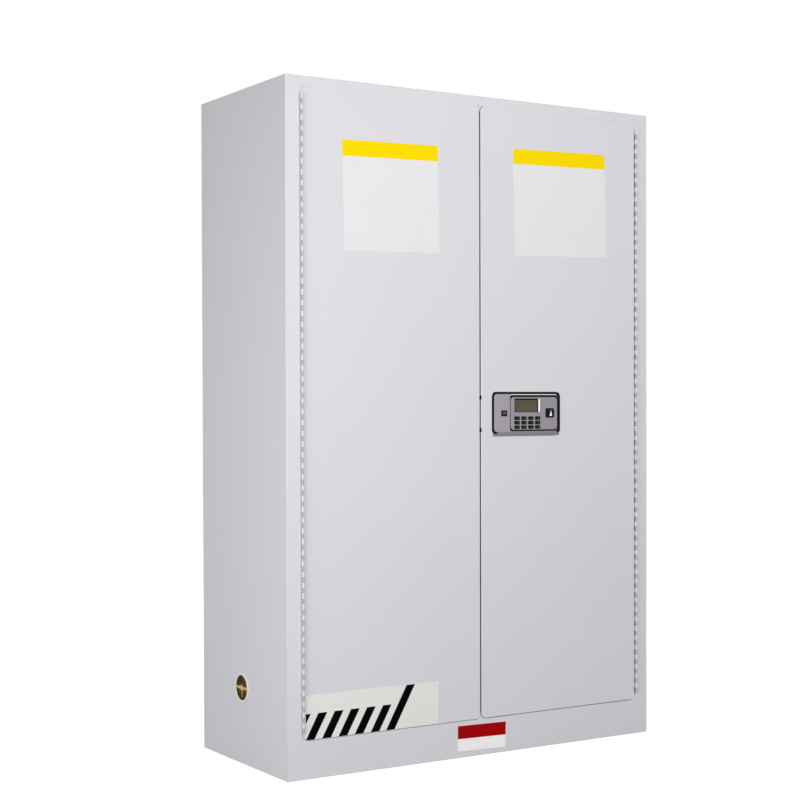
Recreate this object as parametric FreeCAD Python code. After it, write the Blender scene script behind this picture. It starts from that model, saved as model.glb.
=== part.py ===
import FreeCAD, Part
import math
import os

Vector = FreeCAD.Vector

# All lengths are in millimetres. The origin is the middle of the cabinet's footprint on
# the floor: +X is the right-hand side seen from the front, -Y the front, +Z up.

# Carcass: an outer and an inner steel shell with an air wall between them; the overrun is
# how far a cutting shape runs past the metal it cuts
cabinet_width = 1090.0
cabinet_depth = 460.0
cabinet_height = 1650.0
sheet = 1.2
wall_air = 38.0
bend_inside = 1.0
fold_play = 0.3
overrun = 1.0
stile_width = 39.0
top_rail_height = 23.0
plinth_height = 90.5
reveal_depth = 42.0
stop_width = 20.0
stop_lip = 12.0
back_return = 20.0
hidden_flange = 18.0
base_lift = 20.0

# Doors: a folded skin closed at the back by a flanged liner
door_thickness = 38.0
hinge_gap = 3.0
centre_gap = 4.0
centre_line_x = 4.0
head_gap = 0.7
sill_gap = 2.0
door_corner_radius = 12.0
door_edge_bevel = 2.0
door_inner_chamfer = 10.0
liner_flange = 15.0

# Door seal on the stop round the opening
seal_width = 12.0
seal_inset = 4.0
seal_play = 0.3

# Continuous hinges
knuckle_pitch = 12.7
knuckle_play = 0.3
barrel_radius = 3.8
barrel_standoff = 1.0
pin_radius = 1.7
pin_play = 0.05
leaf_thickness = 1.2
leaf_depth = 30.0
hinge_end_margin = 17.0
barrel_sides = 5
bore_sides = 4

# Shelves, the strips that carry them and their clips
shelf_sheet = 1.2
shelf_fold = 30.0
shelf_side_play = 0.6
shelf_front_gap = 10.0
shelf_back_gap = 10.0
strip_width = 25.0
strip_depth = 5.0
strip_end_gap = 25.0
strip_front_inset = 60.0
strip_back_inset = 55.0
slot_pitch = 180.0
slot_width = 14.0
slot_height = 4.0
slot_end_margin = 75.0
lower_shelf_slot = 2
upper_shelf_slot = 5
clip_ledge = 12.0
clip_gauge = 2.0
clip_drop = 14.0
clip_tongue_play = 1.0

# Vents with flame arresters, low on the left side and high on the right
vent_bore_radius = 30.5
vent_seat_radius = 27.5
vent_wall = 2.5
vent_flange_radius = 37.0
vent_flange_thickness = 3.0
vent_height = 187.0
vent_back_offset = 7.0
vent_socket_depth = 16.0
vent_play = 0.3
arrester_depth = 18.0
arrester_rim = 3.0
vent_facets = 12
vent_nut_sides = 8
mesh_pitch = 8.6
mesh_hole = 6.2
mesh_rows = 2
grip_width = 6.0
grip_height = 8.0
grip_hub_radius = 8.0
grip_recess = 1.0
upright_share = 0.8

# Levelling feet, screwed right up so that the cabinet stands on its shell
foot_side_inset = 75.0
foot_front_inset = 75.0
foot_pad_radius = 22.0
foot_pad_height = 8.0
foot_floor_gap = 1.0
foot_stud_radius = 6.0
foot_stud_play = 0.3
foot_travel = 18.0
foot_nut_across = 19.0
foot_nut_height = 10.0
pad_sides = 12
stud_sides = 8

# Flat-bar bolts of both doors
bolt_width = 16.0
bolt_thickness = 4.0
bolt_play = 0.3
bolt_recess = 2.0
bolt_throw = 15.0
bolt_face_inset = 19.0
catch_hole_play = 1.0

# Lock on the right-hand door
lock_centre_x = 146.0
lock_centre_z = 856.5
lock_width = 214.0
lock_height = 112.0
lock_corner = 12.0
gasket_width = 5.0
gasket_thickness = 1.0
plate_proud = 5.0
plate_wall = 2.5
housing_depth = 10.0
housing_play = 0.3
lip_height = 9.0
lip_foot = 0.3
lip_end_inset = 3.0
plate_chamfer = 4.0
module_left = 93.0
module_right = 238.5
module_bottom = 813.5
module_top = 902.0
module_proud = 6.5
module_seat = 1.0
module_groove = 2.0
module_corner = 4.0
window_left = 105.0
window_width = 73.0
window_bottom = 861.0
window_height = 34.0
window_thickness = 1.5
key_columns = 4
key_rows = 3
key_first_x = 112.0
key_first_z = 845.5
key_pitch_x = 21.6
key_pitch_z = 11.3
key_width = 16.6
key_height = 8.6
key_corner = 2.0
key_proud = 1.4
key_side_play = 0.4
key_depth = 4.5
key_travel = 1.0
key_floor_gap = 0.3
knob_x = 215.5
knob_z = 858.5
knob_width = 26.0
knob_height = 23.0
knob_corner = 4.0
knob_proud = 14.0
knob_bevel = 1.5
spindle_width = 7.0
spindle_play = 0.3
spindle_sides = 8
spindle_reach = 5.0
cylinder_x = 72.5
cylinder_z = 858.5
cylinder_radius = 5.5
cylinder_proud = 1.2
cylinder_sides = 12
escutcheon_width = 17.0
escutcheon_height = 14.5
escutcheon_proud = 0.8
escutcheon_corner = 1.0
keyway_width = 1.6
keyway_length = 7.0
keyway_depth = 4.0
case_left = 17.0
case_right = 232.0
case_bottom = 800.0
case_top = 912.0
case_wall = 2.0
rod_x = 44.0
rod_lap = 24.0
side_bolt_spread = 81.0
side_bolt_height = 12.0
side_bolt_thickness = 6.0
side_bolt_back_inset = 30.0
side_bolt_bridge = 10.0
side_bolt_bridge_x = 92.0
strike_thickness = 1.5
strike_width = 26.0
strike_height = 122.0

# Flush bolts of the left-hand door, each with a thumb tab on the door's inner face
flush_bolt_x = 44.0
flush_bolt_length = 120.0
thumb_width = 8.0
thumb_height = 12.0
thumb_proud = 9.0
thumb_from_end = 70.0
guide_height = 16.0
guide_width = 24.0
guide_wall = 3.0

# Places that follow from the sizes above
half_width = cabinet_width / 2
front_y = (knob_proud - cabinet_depth) / 2
back_y = front_y + cabinet_depth
middle_y = (front_y + back_y) / 2
wall = wall_air + 2 * sheet
jamb_x = half_width - stile_width
room_x = half_width - wall
room_back_y = back_y - wall
room_top_z = cabinet_height - wall
stop_y = front_y + reveal_depth
base_z = base_lift + sheet
sump_z = base_z + wall_air
rim_z = plinth_height + stop_width
head_z = cabinet_height - top_rail_height
door_x = jamb_x - hinge_gap
door_bottom = plinth_height + sill_gap
door_top = head_z - head_gap
door_inner_y = front_y + door_thickness
bolt_y = front_y + bolt_face_inset
hinge_x = jamb_x - hinge_gap / 2
hinge_y = front_y - barrel_standoff - barrel_radius
strip_bottom = rim_z + strip_end_gap
strip_top = room_top_z - strip_end_gap
liner_front_y = door_inner_y - sheet


def box(x0, x1, y0, y1, z0, z1):
    low = Vector(min(x0, x1), min(y0, y1), min(z0, z1))
    return Part.makeBox(abs(x1 - x0), abs(y1 - y0), abs(z1 - z0), low)


def cylinder(radius, start, direction, length):
    return Part.makeCylinder(radius, length, Vector(*start), Vector(*direction))


def prism(points, direction):
    """A straight prism on a closed run of points."""
    outline = Part.makePolygon(points + [points[0]])
    return Part.Face(outline).extrude(direction)


def rounded_plate(x0, x1, z0, z1, y0, y1, radius):
    """A plate facing the front, with its four corners rounded."""
    plate = box(x0, x1, y0, y1, z0, z1)
    return plate.makeFillet(radius, edges_along(plate, Vector(0, 1, 0)))


def edges_along(shape, direction):
    found = []
    for edge in shape.Edges:
        run = edge.Vertexes[-1].Point - edge.Vertexes[0].Point
        if run.Length > 0 and abs(run.dot(direction)) > 0.999 * run.Length:
            found.append(edge)
    return found


def polygon_bar(sides, across, start, direction, length):
    """A straight bar with this many flat sides, across apart over its flats."""
    along = Vector(*direction)
    up = Vector(0, 1, 0) if abs(along.z) > 0.5 else Vector(0, 0, 1)
    level = along.cross(up)
    radius = across / 2 / math.cos(math.pi / sides)
    turn = 2 * math.pi / sides
    points = []
    for n in range(sides):
        angle = (n + 0.5) * turn
        points.append(Vector(*start) + (up * math.cos(angle) + level * math.sin(angle)) * radius)
    return prism(points, along * length)


def edges_at_front(shape, y):
    """The edges that lie in the plane at this y."""
    return [e for e in shape.Edges if abs(e.BoundBox.YMin - y) < 0.01 and abs(e.BoundBox.YMax - y) < 0.01]


def chamfered_plate(centre_x, centre_z, width, height, y0, y1, chamfer):
    """A plate facing the front, with its four corners cut off."""
    dx = width / 2
    dz = height / 2
    corners = [(dx - chamfer, -dz), (dx, chamfer - dz), (dx, dz - chamfer), (dx - chamfer, dz)]
    corners += [(-x, -z) for x, z in corners]
    points = [Vector(centre_x + x, y0, centre_z + z) for x, z in corners]
    return prism(points, Vector(0, y1 - y0, 0))


def round_run(points, turns):
    """Lines and tangent arcs through flat points; turns gives the radius at each inner point."""
    edges = []
    start = points[0]
    for before, corner, after, radius in zip(points, points[1:], points[2:], turns):
        if radius <= 0:
            edges.append(Part.LineSegment(start, corner).toShape())
            start = corner
            continue
        come = (corner - before).normalize()
        leave = (after - corner).normalize()
        reach = radius * math.tan(come.getAngle(leave) / 2)
        inward = (leave - come).normalize()
        dip = math.hypot(radius, reach) - radius
        edges.append(Part.LineSegment(start, corner - come * reach).toShape())
        arc = Part.Arc(corner - come * reach, corner + inward * dip, corner + leave * reach)
        edges.append(arc.toShape())
        start = corner + leave * reach
    edges.append(Part.LineSegment(start, points[-1]).toShape())
    return edges


def folded_sheet(path, side, place, direction, inside):
    """Sheet metal folded along a flat path, on its left (side 1) or right (side -1)."""
    flat = [Vector(u, v, 0) for u, v in path]
    runs = [(b - a).normalize() for a, b in zip(flat, flat[1:])]
    normals = [Vector(-run.y, run.x, 0) * side for run in runs]
    far = [flat[0] + normals[0] * sheet]
    path_radii = []
    far_radii = []
    for corner, before, after in zip(flat[1:], normals, normals[1:]):
        far.append(corner + (before + after) * (sheet / (1 + before.dot(after))))
        towards = before.cross(after).z * side > 0
        outside = inside + sheet if inside > 0 else 0
        path_radii.append(outside if towards else inside)
        far_radii.append(inside if towards else outside)
    far.append(flat[-1] + normals[-1] * sheet)
    edges = round_run(flat, path_radii)
    edges.append(Part.LineSegment(flat[-1], far[-1]).toShape())
    edges += round_run(far[::-1], far_radii[::-1])
    edges.append(Part.LineSegment(far[0], flat[0]).toShape())
    section = Part.Face(Part.Wire(Part.__sortEdges__(edges)))
    section.transformShape(place)
    return section.extrude(direction)


def plan_section(z):
    """Turns a flat section into one in plan at this height."""
    return FreeCAD.Matrix(1, 0, 0, 0, 0, 1, 0, 0, 0, 0, 1, z, 0, 0, 0, 1)


def side_section(x):
    """Turns a flat section of depth and height into one across the width at this x."""
    return FreeCAD.Matrix(0, 0, 1, x, 1, 0, 0, 0, 0, 1, 0, 0, 0, 0, 0, 1)


def vent_place(side):
    """Centre of a side's vent on the outer face: low on the left, high on the right."""
    height = vent_height if side < 0 else cabinet_height - vent_height
    return side * half_width, middle_y + vent_back_offset, height


def vent_hole(side):
    x, y, z = vent_place(side)
    across = 2 * (vent_bore_radius + vent_wall + vent_play)
    return polygon_bar(vent_facets, across, (x + side * overrun, y, z), (-side, 0, 0), wall + 2 * overrun)


def side_panel(side):
    """Outer side with its front stile and rear return folded from one sheet."""
    path = [
        (side * jamb_x, front_y),
        (side * half_width, front_y),
        (side * half_width, back_y),
        (side * (half_width - back_return), back_y),
    ]
    height = cabinet_height - sheet
    panel = folded_sheet(path, side, plan_section(0), Vector(0, 0, height), bend_inside)
    return panel.cut(vent_hole(side))


def flanged_tray(x_out, y0, y1, z_plate, z_flange, clear):
    """A plate with a flange all round, up or down to z_flange, inside a rectangle."""
    low = min(z_plate, z_flange)
    high = max(z_plate, z_flange)
    x = x_out - clear
    whole = box(-x, x, y0 + clear, y1 - clear, low, high)
    up = z_flange > z_plate
    z0 = low + sheet if up else low - sheet
    z1 = high + sheet if up else high - sheet
    hollow = box(sheet - x, x - sheet, y0 + clear + sheet, y1 - clear - sheet, z0, z1)
    return whole.cut(hollow)


def roof_panel():
    top = box(-half_width, half_width, front_y, back_y, cabinet_height - sheet, cabinet_height)
    tray = flanged_tray(
        half_width - sheet,
        front_y + sheet,
        back_y - 2 * sheet,
        cabinet_height,
        cabinet_height - sheet - hidden_flange,
        fold_play,
    )
    return top.fuse(tray).removeSplitter()


def back_panel():
    x = half_width - sheet - bend_inside
    return box(-x, x, back_y - 2 * sheet, back_y - sheet, 0, cabinet_height - sheet)


def foot_places():
    x = half_width - foot_side_inset
    y0 = front_y + foot_front_inset
    y1 = back_y - foot_front_inset
    return {
        "front_left": (-x, y0),
        "front_right": (x, y0),
        "back_left": (-x, y1),
        "back_right": (x, y1),
    }


def base_pan():
    """Bottom of the outer shell, with the weld nuts that the feet screw through."""
    pan = flanged_tray(
        half_width - sheet,
        front_y + sheet,
        back_y - 2 * sheet,
        base_lift,
        base_z + hidden_flange,
        fold_play,
    )
    nuts = []
    for x, y in foot_places().values():
        nuts.append(polygon_bar(6, foot_nut_across, (x, y, base_z), (0, 0, 1), foot_nut_height))
    pan = pan.fuse(nuts).removeSplitter()
    across = 2 * (foot_stud_radius + foot_stud_play)
    depth = sheet + foot_nut_height + 2 * overrun
    for x, y in foot_places().values():
        pan = pan.cut(polygon_bar(stud_sides, across, (x, y, base_lift - overrun), (0, 0, 1), depth))
    return pan


def bar_way(x, z0, z1, play):
    """The upright space of a flat-bar bolt, with play all round."""
    dx = bolt_width / 2 + play
    dy = bolt_thickness / 2 + play
    return box(x - dx, x + dx, bolt_y - dy, bolt_y + dy, z0, z1)


def catch_hole(x, z):
    """A slot for a bolt in a level flange at height z."""
    return bar_way(x, z - 2 * sheet, z + 2 * sheet, catch_hole_play)


def plinth_panel():
    """Front plinth, sill ledge and lower door stop folded from one sheet."""
    path = [
        (front_y + back_return, 0),
        (front_y, 0),
        (front_y, plinth_height),
        (stop_y, plinth_height),
        (stop_y, rim_z),
    ]
    panel = folded_sheet(path, -1, side_section(-jamb_x), Vector(2 * jamb_x, 0, 0), 0)
    panel = trim_stop_ends(panel, plinth_height, rim_z)
    for x in (rod_x, -flush_bolt_x):
        panel = panel.cut(catch_hole(x, plinth_height))
    return panel


def top_rail():
    """Top rail, head ledge and upper door stop folded from one sheet."""
    path = [
        (front_y, cabinet_height - sheet),
        (front_y, head_z),
        (stop_y, head_z),
        (stop_y, head_z - stop_width),
        (stop_y + stop_lip, head_z - stop_width),
    ]
    rail = folded_sheet(path, 1, side_section(-jamb_x), Vector(2 * jamb_x, 0, 0), 0)
    rail = trim_stop_ends(rail, head_z - stop_width, head_z)
    for x in (rod_x, -flush_bolt_x):
        rail = rail.cut(catch_hole(x, head_z))
    return rail


def trim_stop_ends(panel, z0, z1):
    """Ends the stop flange where the upright stops begin."""
    for side in (-1, 1):
        x0 = side * (jamb_x - stop_width)
        x1 = side * (jamb_x + overrun)
        panel = panel.cut(box(x0, x1, stop_y, stop_y + stop_lip + overrun, z0, z1))
    return panel


def jamb(side):
    """Reveal, upright door stop and its lip on one side of the opening."""
    stop_x = jamb_x - stop_width
    path = [
        (side * jamb_x, front_y + sheet),
        (side * jamb_x, stop_y),
        (side * stop_x, stop_y),
        (side * stop_x, stop_y + stop_lip),
    ]
    height = head_z - plinth_height
    post = folded_sheet(path, -side, plan_section(plinth_height), Vector(0, 0, height), 0)
    for z0, z1 in ((0, rim_z), (room_top_z, cabinet_height)):
        x0 = side * (stop_x - overrun)
        post = post.cut(box(x0, side * jamb_x, stop_y + sheet, room_back_y, z0, z1))
    return post


def side_liner(side):
    x0 = side * room_x
    liner = box(x0, x0 + side * sheet, stop_y + sheet, room_back_y, base_z, room_top_z)
    return liner.cut(vent_hole(side))


def back_liner():
    x = room_x + sheet
    return box(-x, x, room_back_y, room_back_y + sheet, base_z, room_top_z)


def roof_liner():
    x = room_x + sheet
    return box(-x, x, stop_y + sheet, room_back_y + sheet, room_top_z, room_top_z + sheet)


def sump_tray():
    y0 = stop_y + sheet
    outer = box(-room_x, room_x, y0, room_back_y, sump_z, rim_z)
    x = room_x - sheet
    inner = box(-x, x, y0 + sheet, room_back_y - sheet, sump_z + sheet, rim_z + overrun)
    return outer.cut(inner)


def strip_positions():
    """Front and rear y of the shelf strips' middles."""
    return stop_y + strip_front_inset, room_back_y - strip_back_inset


def slot_heights():
    first = strip_bottom + slot_end_margin
    count = int((strip_top - slot_end_margin - first) / slot_pitch) + 1
    return [first + n * slot_pitch for n in range(count)]


def shelf_strips():
    """Four slotted channels standing on the side liners."""
    strips = []
    for side in (-1, 1):
        for y in strip_positions():
            strips.append(shelf_strip(side, y))
    return strips


def shelf_strip(side, y):
    face_x = side * (room_x - strip_depth)
    half = strip_width / 2
    strip = box(side * room_x, face_x, y - half, y + half, strip_bottom, strip_top)
    inner_x = face_x + side * sheet
    outer_x = side * (room_x + overrun)
    hollow = box(inner_x, outer_x, y - half + sheet, y + half - sheet, strip_bottom, strip_top)
    strip = strip.cut(hollow)
    slots = []
    x0 = face_x - side * overrun
    x1 = inner_x + side * overrun
    for z in slot_heights():
        z0 = z - slot_height / 2
        slots.append(box(x0, x1, y - slot_width / 2, y + slot_width / 2, z0, z0 + slot_height))
    return strip.cut(Part.makeCompound(slots))


def shelf_clips():
    """Four clips under each shelf, hooked into the strips."""
    clips = []
    heights = slot_heights()
    for slot in (lower_shelf_slot, upper_shelf_slot):
        for side in (-1, 1):
            for y in strip_positions():
                clips.append(shelf_clip(side, y, heights[slot]))
    return clips


def shelf_clip(side, y, slot_z):
    face_x = room_x - strip_depth
    half = slot_width / 2 - clip_tongue_play
    top = slot_z + clip_gauge / 2
    tongue_x = face_x + sheet + fold_play
    section = [
        (tongue_x, top),
        (face_x - clip_ledge, top),
        (face_x - clip_ledge, top - clip_gauge),
        (face_x - clip_gauge, top - clip_gauge),
        (face_x - clip_gauge, top - clip_drop),
        (face_x, top - clip_drop),
        (face_x, top - clip_gauge),
        (tongue_x, top - clip_gauge),
    ]
    points = [Vector(side * x, y - half, z) for x, z in section]
    return prism(points, Vector(0, 2 * half, 0))


def shelf(slot):
    """A shelf with its four edges folded down, resting on its clips."""
    bottom = slot_heights()[slot] + clip_gauge / 2
    top = bottom + shelf_fold
    x = room_x - strip_depth - shelf_side_play
    y0 = stop_y + stop_lip + shelf_front_gap
    y1 = room_back_y - shelf_back_gap
    outer = box(-x, x, y0, y1, bottom, top)
    t = shelf_sheet
    return outer.cut(box(t - x, x - t, y0 + t, y1 - t, bottom - overrun, top - t))


def door_seal():
    """Four strips of seal on the door stops."""
    x1 = jamb_x - seal_inset
    x0 = x1 - seal_width
    z0 = plinth_height + seal_inset
    z1 = head_z - seal_inset
    y0 = door_inner_y + seal_play
    strips = [box(-x1, -x0, y0, stop_y, z0, z1), box(x0, x1, y0, stop_y, z0, z1)]
    strips.append(box(-x0, x0, y0, stop_y, z0, z0 + seal_width))
    strips.append(box(-x0, x0, y0, stop_y, z1 - seal_width, z1))
    return strips


def knuckle_count():
    """An even number of knuckles, half on each leaf."""
    clear = door_top - door_bottom - 2 * hinge_end_margin
    return 2 * int(clear / (2 * knuckle_pitch))


def hinge_bottom():
    return (door_top + door_bottom - knuckle_count() * knuckle_pitch) / 2


def regular(radius, sides, x, y, z):
    """Corners of a regular polygon in plan, one of them towards the back."""
    turn = 2 * math.pi / sides
    points = []
    for n in range(sides):
        points.append(Vector(x + radius * math.sin(n * turn), y + radius * math.cos(n * turn), z))
    return points


def knuckle_outline(near, far, z):
    """A rolled knuckle in plan: flat-sided round the pin, drawn out to the leaf behind it."""
    corners = regular(barrel_radius, barrel_sides, hinge_x, hinge_y, z)
    leaf_y = hinge_y + barrel_radius + knuckle_play
    tail = [Vector(near, leaf_y, z), Vector(far, leaf_y, z)]
    return tail + corners[1:]


def hinge_leaf(side, leaf_x, first):
    """One leaf of a continuous hinge, with every second knuckle from first."""
    near = leaf_x
    far = leaf_x + leaf_thickness
    length = knuckle_count() * knuckle_pitch
    leaf_y = hinge_y + barrel_radius + knuckle_play
    bottom = hinge_bottom()
    pieces = [box(near, far, leaf_y, leaf_y + leaf_depth, bottom, bottom + length)]
    rise = Vector(0, 0, knuckle_pitch - knuckle_play)
    for n in range(first, knuckle_count(), 2):
        z = bottom + n * knuckle_pitch + knuckle_play / 2
        pieces.append(prism(knuckle_outline(near, far, z), rise))
    leaf = pieces[0].fuse(pieces[1:]).removeSplitter()
    return mirror_to(side, leaf)


def mirror_to(side, shape):
    """Shapes are drawn on the right; the left one is the mirror image."""
    if side > 0:
        return shape
    return shape.mirror(Vector(0, 0, 0), Vector(1, 0, 0))


def frame_leaf(side):
    return hinge_leaf(side, jamb_x - leaf_thickness, 0)


def door_leaf(side):
    leaf = hinge_leaf(1, door_x, 1)
    return mirror_to(side, leaf.cut(pin_bore()))


def pin_bore():
    """The running hole in the door leaf's knuckles, flat-sided and clear of the turning pin."""
    across = 2 * (pin_radius + pin_play)
    start = (hinge_x, hinge_y, hinge_bottom() - overrun)
    length = knuckle_count() * knuckle_pitch + 2 * overrun
    return polygon_bar(bore_sides, across, start, (0, 0, 1), length)


def hinge_pins():
    """A pin through each hinge, held fast in the frame leaf's knuckles."""
    corners = regular(pin_radius, barrel_sides, hinge_x, hinge_y, hinge_bottom())
    pin = prism(corners, Vector(0, 0, knuckle_count() * knuckle_pitch))
    return [mirror_to(-1, pin), pin]


def door_inside(x0, x1, inset, y0, y1):
    """The door's outline drawn in by one or more walls, between two depths."""
    return chamfered_plate(
        (x0 + x1) / 2,
        (door_bottom + door_top) / 2,
        x1 - x0 - 2 * inset,
        door_top - door_bottom - 2 * inset,
        y0,
        y1,
        door_inner_chamfer,
    )


def free_edge(side):
    """The door edge that meets the other door; the right-hand door is the narrower one."""
    return centre_line_x + side * centre_gap / 2


def door_ends(side):
    """The door's left and right edges."""
    free = free_edge(side)
    hung = side * door_x
    return min(free, hung), max(free, hung)


def door_skin(side):
    x0, x1 = door_ends(side)
    outer = rounded_plate(x0, x1, door_bottom, door_top, front_y, door_inner_y, door_corner_radius)
    outer = outer.makeChamfer(door_edge_bevel, edges_at_front(outer, front_y))
    hollow = door_inside(x0, x1, sheet, front_y + sheet, door_inner_y + overrun)
    skin = outer.cut(hollow)
    x = rod_x if side > 0 else -flush_bolt_x
    for z in (door_bottom, door_top):
        skin = skin.cut(bar_way(x, z - 2 * sheet, z + 2 * sheet, bolt_play))
    return skin


def door_liner(side):
    """The inner face of a door, with a flange turned forwards inside the skin."""
    x0, x1 = door_ends(side)
    flange_y = door_inner_y - liner_flange
    outer = door_inside(x0, x1, sheet, flange_y, door_inner_y)
    hollow = door_inside(x0, x1, 2 * sheet, flange_y - overrun, liner_front_y)
    edge = free_edge(side)
    slots = side_bolt_slots(edge + side * sheet, edge + side * 3 * sheet, catch_hole_play)
    return outer.cut(hollow).cut(slots)


def side_bolt_heights():
    return lock_centre_z - side_bolt_spread / 2, lock_centre_z + side_bolt_spread / 2


def side_bolt_depths():
    """Front and back y of the side bolt."""
    y1 = front_y + side_bolt_back_inset + side_bolt_thickness / 2
    return y1 - side_bolt_thickness, y1


def side_bolt_slots(x0, x1, play):
    """Rectangular ways for the two prongs of the side bolt."""
    y0, y1 = side_bolt_depths()
    slots = []
    for z in side_bolt_heights():
        half = side_bolt_height / 2 + play
        slots.append(box(x0, x1, y0 - play, y1 + play, z - half, z + half))
    return Part.makeCompound(slots)


def left_door_skin():
    skin = door_skin(-1)
    edge = free_edge(-1)
    return skin.cut(side_bolt_slots(edge - 2 * sheet, edge + overrun, catch_hole_play))


def strike_plate():
    """A plate behind the left-hand door's free edge, with the catch slots of the side bolt."""
    x1 = free_edge(-1) - 2 * sheet
    y1 = liner_front_y - fold_play
    y0 = y1 - strike_width
    z0 = lock_centre_z - strike_height / 2
    plate = box(x1 - strike_thickness, x1, y0, y1, z0, z0 + strike_height)
    return plate.cut(side_bolt_slots(x1 - 2 * strike_thickness, x1 + overrun, catch_hole_play / 2))


def thumb_centres():
    """Heights of the left-hand door's thumb tabs, bottom and top."""
    return door_bottom + thumb_from_end, door_top - thumb_from_end


def left_door_liner():
    liner = door_liner(-1)
    slack = fold_play
    ways = zip(thumb_centres(), (-1, 1))
    for z, direction in ways:
        z0 = z - thumb_height / 2 - slack
        z1 = z + thumb_height / 2 + slack
        if direction > 0:
            z1 += bolt_throw
        else:
            z0 -= bolt_throw
        x0 = -flush_bolt_x - thumb_width / 2 - slack
        x1 = x0 + thumb_width + 2 * slack
        liner = liner.cut(box(x0, x1, liner_front_y - overrun, door_inner_y + overrun, z0, z1))
    return liner


def flush_bolt(direction):
    """A flat-bar bolt inside the left-hand door's edge, with its thumb tab through the liner."""
    end = door_top - bolt_recess if direction > 0 else door_bottom + bolt_recess
    start = end - direction * flush_bolt_length
    rod = bar_way(-flush_bolt_x, min(start, end), max(start, end), 0)
    z = thumb_centres()[1 if direction > 0 else 0]
    tab = box(
        -flush_bolt_x - thumb_width / 2,
        -flush_bolt_x + thumb_width / 2,
        bolt_y,
        door_inner_y + thumb_proud,
        z - thumb_height / 2,
        z + thumb_height / 2,
    )
    return rod.fuse(tab).removeSplitter()


def flush_bolt_guides():
    """Guide blocks on the liner that carry the inner ends of the flush bolts."""
    guides = []
    for direction in (-1, 1):
        end = door_top - bolt_recess if direction > 0 else door_bottom + bolt_recess
        inner_end = end - direction * flush_bolt_length
        z0 = inner_end if direction > 0 else inner_end - guide_height
        z0 += direction * bolt_throw
        x0 = -flush_bolt_x - guide_width / 2
        y0 = bolt_y - bolt_thickness / 2 - guide_wall
        guide = box(x0, x0 + guide_width, y0, liner_front_y, z0, z0 + guide_height)
        way = bar_way(-flush_bolt_x, z0 - overrun, z0 + guide_height + overrun, bolt_play)
        guides.append(guide.cut(way))
    return guides


def lock_edges(inset):
    """The lock's outline, drawn in by a distance."""
    x0 = lock_centre_x - lock_width / 2 + inset
    z0 = lock_centre_z - lock_height / 2 + inset
    return x0, x0 + lock_width - 2 * inset, z0, z0 + lock_height - 2 * inset


def lock_block(inset, y0, y1):
    x0, x1, z0, z1 = lock_edges(inset)
    return chamfered_plate(lock_centre_x, lock_centre_z, x1 - x0, z1 - z0, y0, y1, plate_chamfer)


def right_door_skin():
    skin = door_skin(1)
    skin = skin.cut(lock_block(gasket_width, front_y - overrun, front_y + 2 * sheet))
    edge = free_edge(1)
    return skin.cut(side_bolt_slots(edge - overrun, edge + 2 * sheet, bolt_play))


def lock_gasket():
    """Black edging that the lock's plate is bedded on."""
    x0, x1, z0, z1 = lock_edges(0)
    ring = rounded_plate(x0, x1, z0, z1, front_y - gasket_thickness, front_y, lock_corner)
    hole = lock_block(gasket_width, front_y - gasket_thickness - overrun, front_y + overrun)
    return ring.cut(hole)


def lock_housing():
    """Plate with a sloping lower lip, and the shell behind it that fills the door's cut-out."""
    plate_y = front_y - plate_proud
    inset = gasket_width + housing_play
    housing = lock_block(inset, plate_y, front_y + housing_depth)
    pocket_end = front_y + housing_depth + overrun
    pocket = lock_block(inset + plate_wall, front_y + plate_wall, pocket_end)
    housing = housing.cut(pocket).fuse(lock_lip()).removeSplitter()
    housing = housing.cut(module_block(module_groove, plate_y - overrun))
    housing = housing.fuse(escutcheon(plate_y)).removeSplitter()
    reach = plate_proud + housing_depth + 2 * overrun
    housing = housing.cut(cylinder_way(plate_y - overrun, reach))
    return housing.cut(spindle_way(plate_y - overrun, reach))


def module_block(margin, y0):
    """The raised module's space, from a depth back to its seat on the plate."""
    return chamfered_plate(
        (module_left + module_right) / 2,
        (module_bottom + module_top) / 2,
        module_right - module_left + 2 * margin,
        module_top - module_bottom + 2 * margin,
        y0,
        front_y - module_seat,
        module_corner + margin * (2 - math.sqrt(2)),
    )


def spindle_way(y, length):
    """The knob spindle's running hole."""
    across = spindle_width * math.sqrt(2) + 2 * spindle_play
    return polygon_bar(spindle_sides, across, (knob_x, y, knob_z), (0, 1, 0), length)


def cylinder_way(y, length):
    """The key cylinder's running hole."""
    across = 2 * (cylinder_radius + spindle_play)
    return polygon_bar(cylinder_sides, across, (cylinder_x, y, cylinder_z), (0, 1, 0), length)


def escutcheon(plate_y):
    """Small raised square round the key cylinder."""
    return chamfered_plate(
        cylinder_x,
        cylinder_z,
        escutcheon_width,
        escutcheon_height,
        plate_y - escutcheon_proud,
        plate_y + plate_wall,
        escutcheon_corner,
    )


def lock_lip():
    """A wedge that slopes from the plate down over the gasket's lower run."""
    x0, x1, z0, _ = lock_edges(0)
    back_y = front_y - gasket_thickness
    top = z0 + lip_height
    profile = [(back_y - lip_foot, z0), (front_y - plate_proud, top), (back_y, top), (back_y, z0)]
    points = [Vector(x0 + lip_end_inset, y, z) for y, z in profile]
    return prism(points, Vector(x1 - x0 - 2 * lip_end_inset, 0, 0))


def key_places():
    """Centres of the keys, row by row from the top left."""
    places = []
    for row in range(key_rows):
        for column in range(key_columns):
            places.append((key_first_x + column * key_pitch_x, key_first_z - row * key_pitch_z))
    return places


def keypad_panel():
    """The raised module with its window recess, key wells and knob hole."""
    face_y = front_y - module_proud
    panel = module_block(0, face_y)
    cuts = [window_block(-overrun, 0)]
    for x, z in key_places():
        cuts.append(
            chamfered_plate(
                x,
                z,
                key_width + 2 * key_side_play,
                key_height + 2 * key_side_play,
                face_y - overrun,
                key_back_y() + key_travel + key_floor_gap,
                key_corner,
            )
        )
    cuts.append(spindle_way(face_y - overrun, module_proud + 2 * overrun))
    return panel.cut(Part.makeCompound(cuts))


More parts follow.
